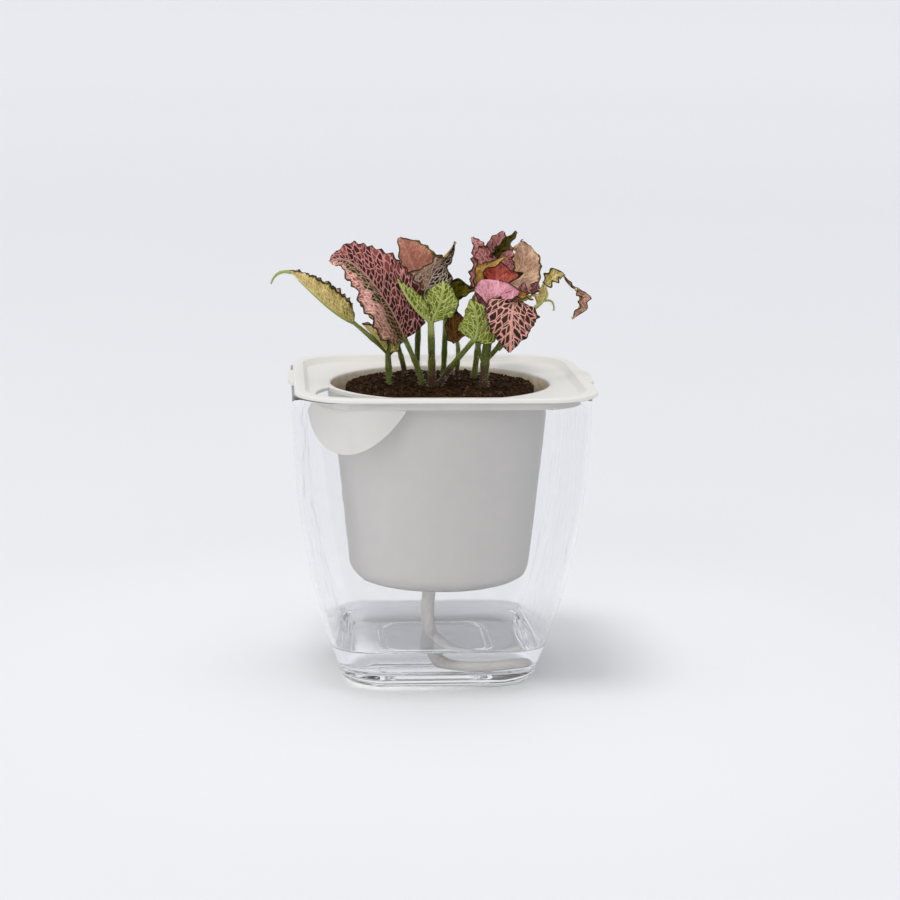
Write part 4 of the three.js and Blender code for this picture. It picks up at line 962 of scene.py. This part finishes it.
def add_guide():
    """The curved sheet under the fill hole, deepest at the corner."""
    bpy.ops.object.select_all(action="DESELECT")
    bpy.ops.mesh.primitive_grid_add(x_subdivisions=48, y_subdivisions=8, size=2)
    guide = bpy.context.object
    for vertex in guide.data.vertices:
        x, y = vertex.co.x, vertex.co.y
        angle = math.radians(GUIDE_TURN + GUIDE_HALF_ANGLE * x)
        low = TRAY_UNDER - GUIDE_END_DROP - (GUIDE_DROP - GUIDE_END_DROP) * (1 - x * x)
        z = low + (TRAY_UNDER + 0.5 - low) * (y + 1) / 2
        vertex.co = Vector((
            GUIDE_CENTRE + GUIDE_RADIUS * math.cos(angle), GUIDE_CENTRE + GUIDE_RADIUS * math.sin(angle), z,
        )) * MM
    solid = guide.modifiers.new("wall", "SOLIDIFY")
    solid.thickness = GUIDE_THICK * MM
    solid.offset = 1
    apply_all(guide)
    edit(guide)
    bpy.ops.mesh.select_all(action="SELECT")
    bpy.ops.mesh.normals_make_consistent(inside=False)
    bpy.ops.object.mode_set(mode="OBJECT")
    return guide


def add_tab(side):
    """A finger tab on one side of the lip: a flat bulge whose ends run out into the lip's side."""
    end = TAB_HALF_LENGTH + TAB_BLEND
    depth = TAB_REACH - LIP_HALF + TAB_ROOT
    height = LIP_TOP - RIM_Z - 0.4
    bpy.ops.object.select_all(action="DESELECT")
    bpy.ops.mesh.primitive_cube_add(size=1, location=(
        side * (LIP_HALF - TAB_ROOT + depth / 2) * MM, 0, (RIM_Z + 0.1 + height / 2) * MM,
    ), scale=(depth * MM, 2 * end * MM, height * MM))
    tab = bpy.context.object
    place_here(tab)
    for edge in tab.data.edges:
        a, b = (tab.data.vertices[v].co for v in edge.vertices)
        edge.select = abs(a.y - b.y) > 1e-6
    bpy.ops.object.mode_set(mode="EDIT")
    bpy.ops.mesh.select_mode(type="EDGE")
    bpy.ops.mesh.subdivide(number_cuts=TAB_CUTS)
    bpy.ops.object.mode_set(mode="OBJECT")
    for vertex in tab.data.vertices:
        if side * vertex.co.x > LIP_HALF * MM:
            run_out = share_of(TAB_HALF_LENGTH, end, abs(vertex.co.y) / MM)
            vertex.co.x = side * (TAB_REACH - (TAB_REACH - LIP_HALF + 0.3) * run_out) * MM
    soften = tab.modifiers.new("soften", "BEVEL")
    soften.width = 0.45 * MM
    soften.segments = 3
    soften.limit_method = "ANGLE"
    apply_all(tab)
    return tab


def add_insert():
    slab = drawn_up("white_insert", [
        (TRAY_HALF, TRAY_UNDER), (TRAY_HALF + 0.1, SKIRT_BOTTOM + 0.4), (TRAY_HALF + 0.5, SKIRT_BOTTOM),
        (SKIRT_HALF - 0.3, SKIRT_BOTTOM), (SKIRT_HALF, SKIRT_BOTTOM + 0.3), (SKIRT_HALF, RIM_Z),
        (LIP_HALF - 0.3, RIM_Z), (LIP_HALF, RIM_Z + 0.3), (LIP_HALF, LIP_TOP - 0.6),
        (LIP_HALF - 0.12, LIP_TOP - 0.25), (LIP_HALF - 0.35, LIP_TOP - 0.07), (LIP_HALF - 0.7, LIP_TOP),
        (LIP_INNER + 0.4, LIP_TOP), (LIP_INNER + 0.15, LIP_TOP - 0.1), (LIP_INNER - 0.05, LIP_TOP - 0.35),
        (TRAY_HALF + 0.25, TRAY_TOP + 0.4), (TRAY_HALF - 0.05, TRAY_TOP + 0.1), (TRAY_HALF - 0.5, TRAY_TOP),
    ], LIP_ROUNDING)
    cup_edge = turned_up(
        CUP_FLAT_RADIUS, CUP_FOOT_RADIUS, CUP_BOTTOM_Z, CUP_FOOT_Z - CUP_BOTTOM_Z, CUP_STEPS,
    )
    cup = drawn_up("cup", cup_edge + [(CUP_RADIUS, TRAY_UNDER + 0.5)])
    bottom = CUP_BOTTOM_Z + CUP_WALL
    edge = CUP_FOOT_Z - CUP_BOTTOM_Z - CUP_WALL / 2
    hollow_edge = turned_up(CUP_FLAT_RADIUS - 1, cup_inner_radius(bottom + edge), bottom, edge, CUP_STEPS)
    hollow = drawn_up("hollow", hollow_edge + [
        (cup_inner_radius(TRAY_UNDER), TRAY_UNDER), (MOUTH_RADIUS - 0.35, TRAY_TOP - 0.7),
        (MOUTH_RADIUS - 0.1, TRAY_TOP - 0.25), (MOUTH_RADIUS + 0.5, TRAY_TOP + 0.02),
        (MOUTH_RADIUS + 0.6, LIP_TOP + 1),
    ])
    port = drawn_up("port", [
        (PORT_RADIUS, TRAY_UNDER - 0.5), (PORT_RADIUS, TRAY_TOP - 0.35),
        (PORT_RADIUS + 0.4, TRAY_TOP + 0.02), (PORT_RADIUS + 0.4, LIP_TOP - 1),
    ], at=(PORT_CENTRE, PORT_CENTRE))
    kept = drawn_up("kept", [(PORT_CLEAR_RADIUS, TRAY_UNDER - 2), (PORT_CLEAR_RADIUS, LIP_TOP + 2)])
    combine(port, kept, "DIFFERENCE")
    drain = drawn_up(
        "drain", [(DRAIN_RADIUS, CUP_BOTTOM_Z - 1), (DRAIN_RADIUS, bottom + 1)],
        at=(WICK_X - INSERT_X, 0), sides=DRAIN_SIDES,
    )
    combine(slab, cup, "UNION")
    combine(slab, hollow, "DIFFERENCE")
    for side in (1, -1):
        combine(slab, add_tab(side), "UNION")
    combine(slab, port, "DIFFERENCE")
    combine(slab, add_guide(), "UNION")
    combine(slab, drain, "DIFFERENCE")
    slab.location.x = INSERT_X * MM
    place_here(slab)
    slab.data.materials.clear()
    slab.data.materials.append(white_plastic())
    smooth(slab, 38)
    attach(slab, "root")
    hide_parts("insert")


# Soil: an uneven plug with loose crumbs on top

def soil_top(x, y):
    """Height of the swelling soil, with a small pit behind its middle."""
    swell = 0.35 * math.sin(0.31 * x + 1) * math.cos(0.27 * y) + 0.2 * math.sin(0.6 * y - 0.4 * x)
    pit = 3.2 * math.exp(-(((x - 9) / 6) ** 2) - ((y - 20) / 4.5) ** 2)
    return SOIL_Z + swell - pit


def add_soil():
    top = [(count * SOIL_STEP, SOIL_Z) for count in range(int(SOIL_RADIUS / SOIL_STEP), 0, -1)]
    plug = drawn_up("soil_plug", [
        (CUP_FLAT_RADIUS - 3, SOIL_BOTTOM), (CUP_FOOT_RADIUS - CUP_WALL - 2, SOIL_BOTTOM + 2.5),
        (cup_inner_radius(CUP_FOOT_Z) - 0.6, CUP_FOOT_Z + 0.3), (SOIL_RADIUS, 90), (SOIL_RADIUS, SOIL_EVEN_Z),
        (SOIL_RADIUS, 112), (SOIL_RADIUS, 114), (SOIL_RADIUS, 115.2), (SOIL_RADIUS, 116.4),
        (SOIL_RADIUS, 117.4), (SOIL_RADIUS - 0.25, 118.4), *top,
    ], sides=SOIL_SIDES)
    for vertex in plug.data.vertices:
        x, y, z = vertex.co / MM
        if z < SOIL_EVEN_Z:
            vertex.co.x += INSERT_X * MM
            continue
        lumps = noise.noise(Vector((x, y, z)) * 0.55) * 0.5 + noise.noise(Vector((x, y, z + 40)) * 1.5) * 0.28
        if z > SOIL_Z - 1:
            z += soil_top(x, y) - SOIL_Z + lumps
        elif z < SOIL_Z - 1:
            factor = 1 + (lumps * 0.7 - 0.35) / math.hypot(x, y)
            x, y = x * factor, y * factor
        vertex.co = Vector((x + INSERT_X, y, z)) * MM
    plug.data.materials.append(potting_soil("potting_soil"))
    smooth(plug, 60)
    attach(plug, "root")
    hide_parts("soil")


def add_crumbs():
    """Loose crumbs and short fibres: a few shapes modelled once, then copied over the soil."""
    draw = random.Random(11)
    shapes = []
    for kind in range(FIBRE + 1):
        bpy.ops.object.select_all(action="DESELECT")
        bpy.ops.mesh.primitive_ico_sphere_add(subdivisions=1 if kind == FIBRE else 2, radius=1)
        shape = bpy.context.object
        for vertex in shape.data.vertices:
            vertex.co *= 1 + 0.45 * noise.noise(vertex.co * 1.3 + Vector((kind * 7, 0, 0)))
        if kind == FIBRE:
            shape.data.transform(Matrix.Diagonal((3.2, 0.35, 0.3, 1)))
        shapes.append(shape)
    crumbs = []
    while len(crumbs) < CRUMBS:
        x, y = (draw.uniform(-SOIL_RADIUS, SOIL_RADIUS) for _ in range(2))
        if math.hypot(x, y) > SOIL_RADIUS - 1:
            continue
        shape = shapes[draw.choice((0, 0, 1, 1, 2, 2, FIBRE))]
        crumb = shape.copy()
        crumb.data = shape.data.copy()
        bpy.context.scene.collection.objects.link(crumb)
        size = draw.uniform(*(SMALL_CRUMB if draw.random() < SMALL_SHARE else LARGE_CRUMB))
        if shape is shapes[FIBRE]:
            size *= 0.8
        turn = Matrix.Rotation(draw.uniform(0, 6.28), 4, "Z")
        tilt = Matrix.Rotation(draw.uniform(-0.5, 0.5), 4, "X")
        spot = Vector((x + INSERT_X, y, soil_top(x, y) + size * 0.25))
        crumb.data.transform(Matrix.Translation(spot * MM) @ turn @ tilt @ Matrix.Scale(size * MM, 4))
        crumbs.append(crumb)
    for shape in shapes:
        bpy.data.objects.remove(shape)
    litter = merge(crumbs, "soil_crumbs")
    litter.data.materials.append(potting_soil("soil_crumb", pale=0.06))
    smooth(litter, 60)
    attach(litter, "root")
    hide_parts("soil")


# The plant

def leaf_frame(leaf, share):
    """Centre, way, face and right of a leaf at a share of its length."""
    centre, along = bezier(leaf["spine"], share)
    face = Vector(leaf["face"][0]).lerp(Vector(leaf["face"][1]), share)
    face = (face - along * face.dot(along)).normalized()
    return centre, along, face, along.cross(face)


def half_width(leaf, share):
    return max(LEAST_HALF, leaf["wide"] * max(0, math.sin(math.pi * share ** leaf["peak"])) ** 0.8)


def arc_way(fold, curl, out):
    """Sideways and upward way of an arc that starts at the fold angle and turns evenly by the curl angle."""
    if abs(curl) < 0.01:
        return out * math.cos(fold), out * math.sin(fold)
    lean = fold + curl * out
    return (math.sin(lean) - math.sin(fold)) / curl, (math.cos(fold) - math.cos(lean)) / curl


def half_shape(bend, share):
    """Fold and curl angle of a leaf's half at a share of its length, in radians."""
    fold, curl, tip_fold, tip_curl = (*bend, *bend)[:4]
    return math.radians(fold + (tip_fold - fold) * share), math.radians(curl + (tip_curl - curl) * share)


def leaf_spot(leaf, frame_here, share, arc, side, out, seed):
    """A point of the blade, out of the way from the midrib, 0, to the margin, 1, on one side."""
    centre, _, face, right = frame_here
    half = half_width(leaf, share)
    which, t = divmod(arc / TOOTH_PITCH + SIDE_SHIFT * side + seed, 1)
    size = 0.75 + 0.9 * noise.noise(Vector((which * 1.7, side * 5, seed * 9)))
    size = max(0.3, size) * leaf["teeth"] * min(1, half / NARROW)
    point = (t / TOOTH_TIP if t < TOOTH_TIP else (1 - t) / (1 - TOOTH_TIP)) ** 1.25
    reach = out + TOOTH * size * point / half * share_of(TEETH_FROM, 1, out)
    fold, curl = half_shape(leaf["left"] if side < 0 else leaf["right"], share)
    across, up = arc_way(fold, curl, reach)
    lean = fold + curl * reach
    normal = face * math.cos(lean) - right * (side * math.sin(lean))
    height, waves, phase = leaf["wave"]
    broad = min(1, half / BROAD)
    lift = height * out * out * math.sin(2 * math.pi * (waves * share + phase * side))
    lift += RUFFLE * broad * out ** 4 * math.sin(2 * math.pi * (arc / RUFFLE_PITCH + 0.3 * side + seed))
    lift += TOOTH_CURL * size * point * share_of(CURL_FROM, 1, out) * (1 if which % 2 else -0.6)
    rise = arc - SIDE_VEIN_SLOPE * half * out
    puff = abs(math.sin(math.pi * rise / SIDE_VEIN_PITCH)) ** 0.7 - 0.5
    lift += PUFF * puff * broad * share_of(0.02, 0.25, out) * (1 - out ** 6)
    lift += 0.16 * noise.noise(Vector((half * out * side, arc, seed * 40)) * 0.45)
    return centre + right * (side * half * across) + face * (half * up) + normal * lift


def add_blade(leaf, seed):
    """A leaf's blade: a grid bent to its form, with its two upper skins, its underside and its edge."""
    length = bezier_length(leaf["spine"])
    rows = max(24, round(length / LEAF_STEP))
    columns = max(6, round(leaf["wide"] / LEAF_STEP))
    bpy.ops.object.select_all(action="DESELECT")
    bpy.ops.mesh.primitive_grid_add(x_subdivisions=2 * columns, y_subdivisions=rows, size=2)
    blade = bpy.context.object
    mesh = blade.data
    frames = [leaf_frame(leaf, row / rows) for row in range(rows + 1)]
    shares = mesh.attributes.new("leaf_shares", "FLOAT_VECTOR", "POINT")
    pattern = []
    for vertex in mesh.vertices:
        share, side = (vertex.co.y + 1) / 2, -1 if vertex.co.x < 0 else 1
        out = abs(vertex.co.x)
        arc = share * length
        vertex.co = leaf_spot(leaf, frames[round(share * rows)], share, arc, side, out, seed) * MM
        shares.data[vertex.index].vector = (out, share, seed)
        pattern.append((0.5 + side * out * half_width(leaf, share) / UV_UNIT, arc / UV_UNIT))
    layer = mesh.uv_layers[0]
    layer.name = "leaf"
    for loop in mesh.loops:
        layer.data[loop.index].uv = pattern[loop.vertex_index]
    for skin in (*leaf["skin"], leaf["skin"][2], "edge", "edge"):
        mesh.materials.append(skins[skin])
    for polygon in mesh.polygons:
        polygon.material_index = 0 if polygon.index % (2 * columns) < columns else 1
    thick = blade.modifiers.new("thick", "SOLIDIFY")
    thick.thickness = LEAF_THICK * MM
    thick.offset = 0
    thick.material_offset = 2
    thick.material_offset_rim = 4
    apply_all(blade)
    smooth(blade, 55)
    return blade


def add_stems(stems, leaves, draw):
    """All the stems of a shoot and the midribs under its leaves, as tapering round tubes."""
    curve = bpy.data.curves.new("stems", "CURVE")
    curve.dimensions = "3D"
    curve.bevel_depth = MM
    curve.bevel_resolution = 5
    curve.use_fill_caps = True
    curve.materials.append(skins["stem"])
    curve.materials.append(skins["rib"])

    def tube(points, radii, skin=0):
        spline = curve.splines.new("POLY")
        spline.material_index = skin
        spline.points.add(len(points) - 1)
        for at, centre, radius in zip(spline.points, points, radii):
            at.co = (*(centre * MM), 1)
            at.radius = radius

    for plan in stems:
        start, end = plan["radius"]
        points, radii = [], []
        if plan["rooted"]:
            x, y, foot_z = plan["path"][0]
            points += [Vector((x, y, ROOT_BOTTOM)), Vector((x, y, foot_z - 2))]
            radii += [start, start]
        knuckle_at = draw.uniform(*KNUCKLE_PLACE)
        for step in range(STEM_STEPS + 1):
            t = step / STEM_STEPS
            points.append(bezier(plan["path"], t)[0])
            swell = KNUCKLE * math.exp(-(((t - knuckle_at) / KNUCKLE_WIDTH) ** 2))
            swell += 0.06 * math.sin(9 * t + 20 * knuckle_at)
            radii.append((start + (end - start) * t) * (1 + swell))
        tube(points, radii)
    for leaf in leaves:
        shares = [RIB_END * step / RIB_STEPS for step in range(RIB_STEPS + 1)]
        points = []
        for share in shares:
            centre, along, face, _ = leaf_frame(leaf, share)
            points.append(centre - face * RIB_DEPTH - along * (RIB_START if share == 0 else 0))
        full = min(1, leaf["wide"] / 9)
        green = leaf["skin"][2] in ("under_lime", "under_straw", "under_olive")
        radii = [full * (RIB_RADIUS - RIB_TAPER * share / RIB_END) for share in shares]
        tube(points, radii, skin=0 if green else 1)
    piece = bpy.data.objects.new("stems", curve)
    bpy.context.scene.collection.objects.link(piece)
    choose(piece)
    bpy.ops.object.convert(target="MESH")
    piece = bpy.context.object
    smooth(piece, 60)
    return piece


def add_hairs(name, stems, draw):
    """Fine pale hairs on the stems, each a thin pointed blade of three sides."""
    vertices, faces = [], []
    for plan in stems:
        start, end = plan["radius"]
        for _ in range(int(bezier_length(plan["path"]) * HAIRS_PER_MM)):
            t = draw.random()
            centre, along = bezier(plan["path"], t)
            radius = start + (end - start) * t
            turn = draw.uniform(0, 2 * math.pi)
            side = along.orthogonal().normalized()
            out = side * math.cos(turn) + along.cross(side) * math.sin(turn)
            tip = centre + out * (radius + draw.uniform(*HAIR_LENGTH)) + along * draw.uniform(*HAIR_LEAN)
            base = centre + out * (radius - HAIR_RADIUS)
            first = len(vertices)
            for corner in range(3):
                spread = 2 * math.pi * corner / 3
                around = along * math.cos(spread) + along.cross(out) * math.sin(spread)
                vertices.append((base + around * HAIR_RADIUS) * MM)
            vertices.append(tip * MM)
            faces += [(first, first + 1, first + 3), (first + 1, first + 2, first + 3),
                      (first + 2, first, first + 3), (first, first + 2, first + 1)]
    mesh = bpy.data.meshes.new(name)
    mesh.from_pydata(vertices, [], faces)
    mesh.materials.append(skins["hair"])
    hairs = bpy.data.objects.new(name, mesh)
    bpy.context.scene.collection.objects.link(hairs)
    return hairs


def add_shoot(name, plan, number):
    draw = random.Random(number)
    blades = [add_blade(leaf, draw.random()) for leaf in plan["leaves"]]
    stems = add_stems(plan["stems"], plan["leaves"], draw)
    hairs = add_hairs(name + "_hairs", plan["stems"], draw)
    plant = merge([*blades, stems, hairs], name + "_plant")
    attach(plant, "root")
    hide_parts(name)


# Floor, light and the finished scene

def add_stage():
    """A pale bowl: a flat floor that turns up into a low wall far away."""
    floor = drawn_up("stage_floor", FLOOR_RINGS, sides=FLOOR_SIDES)
    edit(floor)
    bpy.ops.mesh.select_mode(type="FACE")
    bpy.ops.mesh.select_all(action="DESELECT")
    bpy.ops.object.mode_set(mode="OBJECT")
    for polygon in floor.data.polygons:
        polygon.select = polygon.center.z > (FLOOR_RINGS[-1][1] - 10) * MM
    edit(floor)
    bpy.ops.mesh.delete(type="FACE")
    bpy.ops.mesh.select_all(action="SELECT")
    bpy.ops.mesh.flip_normals()
    bpy.ops.object.mode_set(mode="OBJECT")
    f = Finish("pale_floor")
    place = f.object_place()
    cloud = f.speckle(place, 300)
    near = f.blend(cloud, "dfe0e3", "e3e4e6")
    reach = f.vector_sum("LENGTH", place, output="Value")
    # Painted light: lighter floor near the pot, where its shadow falls
    near = f.blend(f.past(reach, NEAR_FLOOR_LIGHT), "ebecee", near)
    # Painted light: lighter far floor and wall, where less lamp light reaches
    colour = f.blend(f.past(reach, FAR_FLOOR_LIGHT), near, "eeeff2")
    f.set(Base_Color=colour, Roughness=0.75, Specular_IOR_Level=0.1)
    floor.data.materials.append(f.material)
    smooth(floor, 60)


def add_lights():
    world = bpy.data.worlds.new("studio")
    bpy.context.scene.world = world
    world.use_nodes = True
    background = world.node_tree.nodes["Background"]
    background.inputs["Color"].default_value = SKY_COLOUR
    background.inputs["Strength"].default_value = SKY_STRENGTH
    for name, place, width, power, colour in LAMPS:
        bpy.ops.object.light_add(type="AREA", location=place)
        lamp = bpy.context.object
        lamp.name = name
        lamp.rotation_euler = (Vector(LAMP_AIM) - Vector(place)).to_track_quat("-Z", "Y").to_euler()
        lamp.data.shape = "DISK"
        lamp.data.size = width
        lamp.data.energy = power
        lamp.data.color = colour
    bpy.context.scene.view_settings.view_transform = "Standard"


def set_light_paths():
    """Lets light cross the many walls of clear plastic and water before it leaves the pot."""
    paths = bpy.context.scene.cycles
    paths.max_bounces = paths.transmission_bounces = paths.transparent_max_bounces = CLEAR_BOUNCES
    paths.glossy_bounces = CLEAR_BOUNCES // 2


add_camera()
add_wick()
add_reservoir()
add_water()
add_insert()
add_soil()
add_crumbs()
skins = {name: leaf_finish("leaf_" + name, **look) for name, look in LEAF_SKINS.items()}
skins["edge"] = leaf_finish("leaf_edge", cell="2e2610", patch="453a18", vein="5a4a24", edge="2e2a12")
skins["stem"] = stem_skin()
skins["rib"] = rib_skin()
skins["hair"] = plant_hair()
for number, (name, plan) in enumerate(SHOOTS.items()):
    add_shoot(name, plan, number)
wick_in_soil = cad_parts["wick_in_soil"]
wick_in_soil.data.materials.clear()
wick_in_soil.data.materials.append(cotton_cord())
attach(wick_in_soil, "root")
add_stage()
add_lights()
set_light_paths()
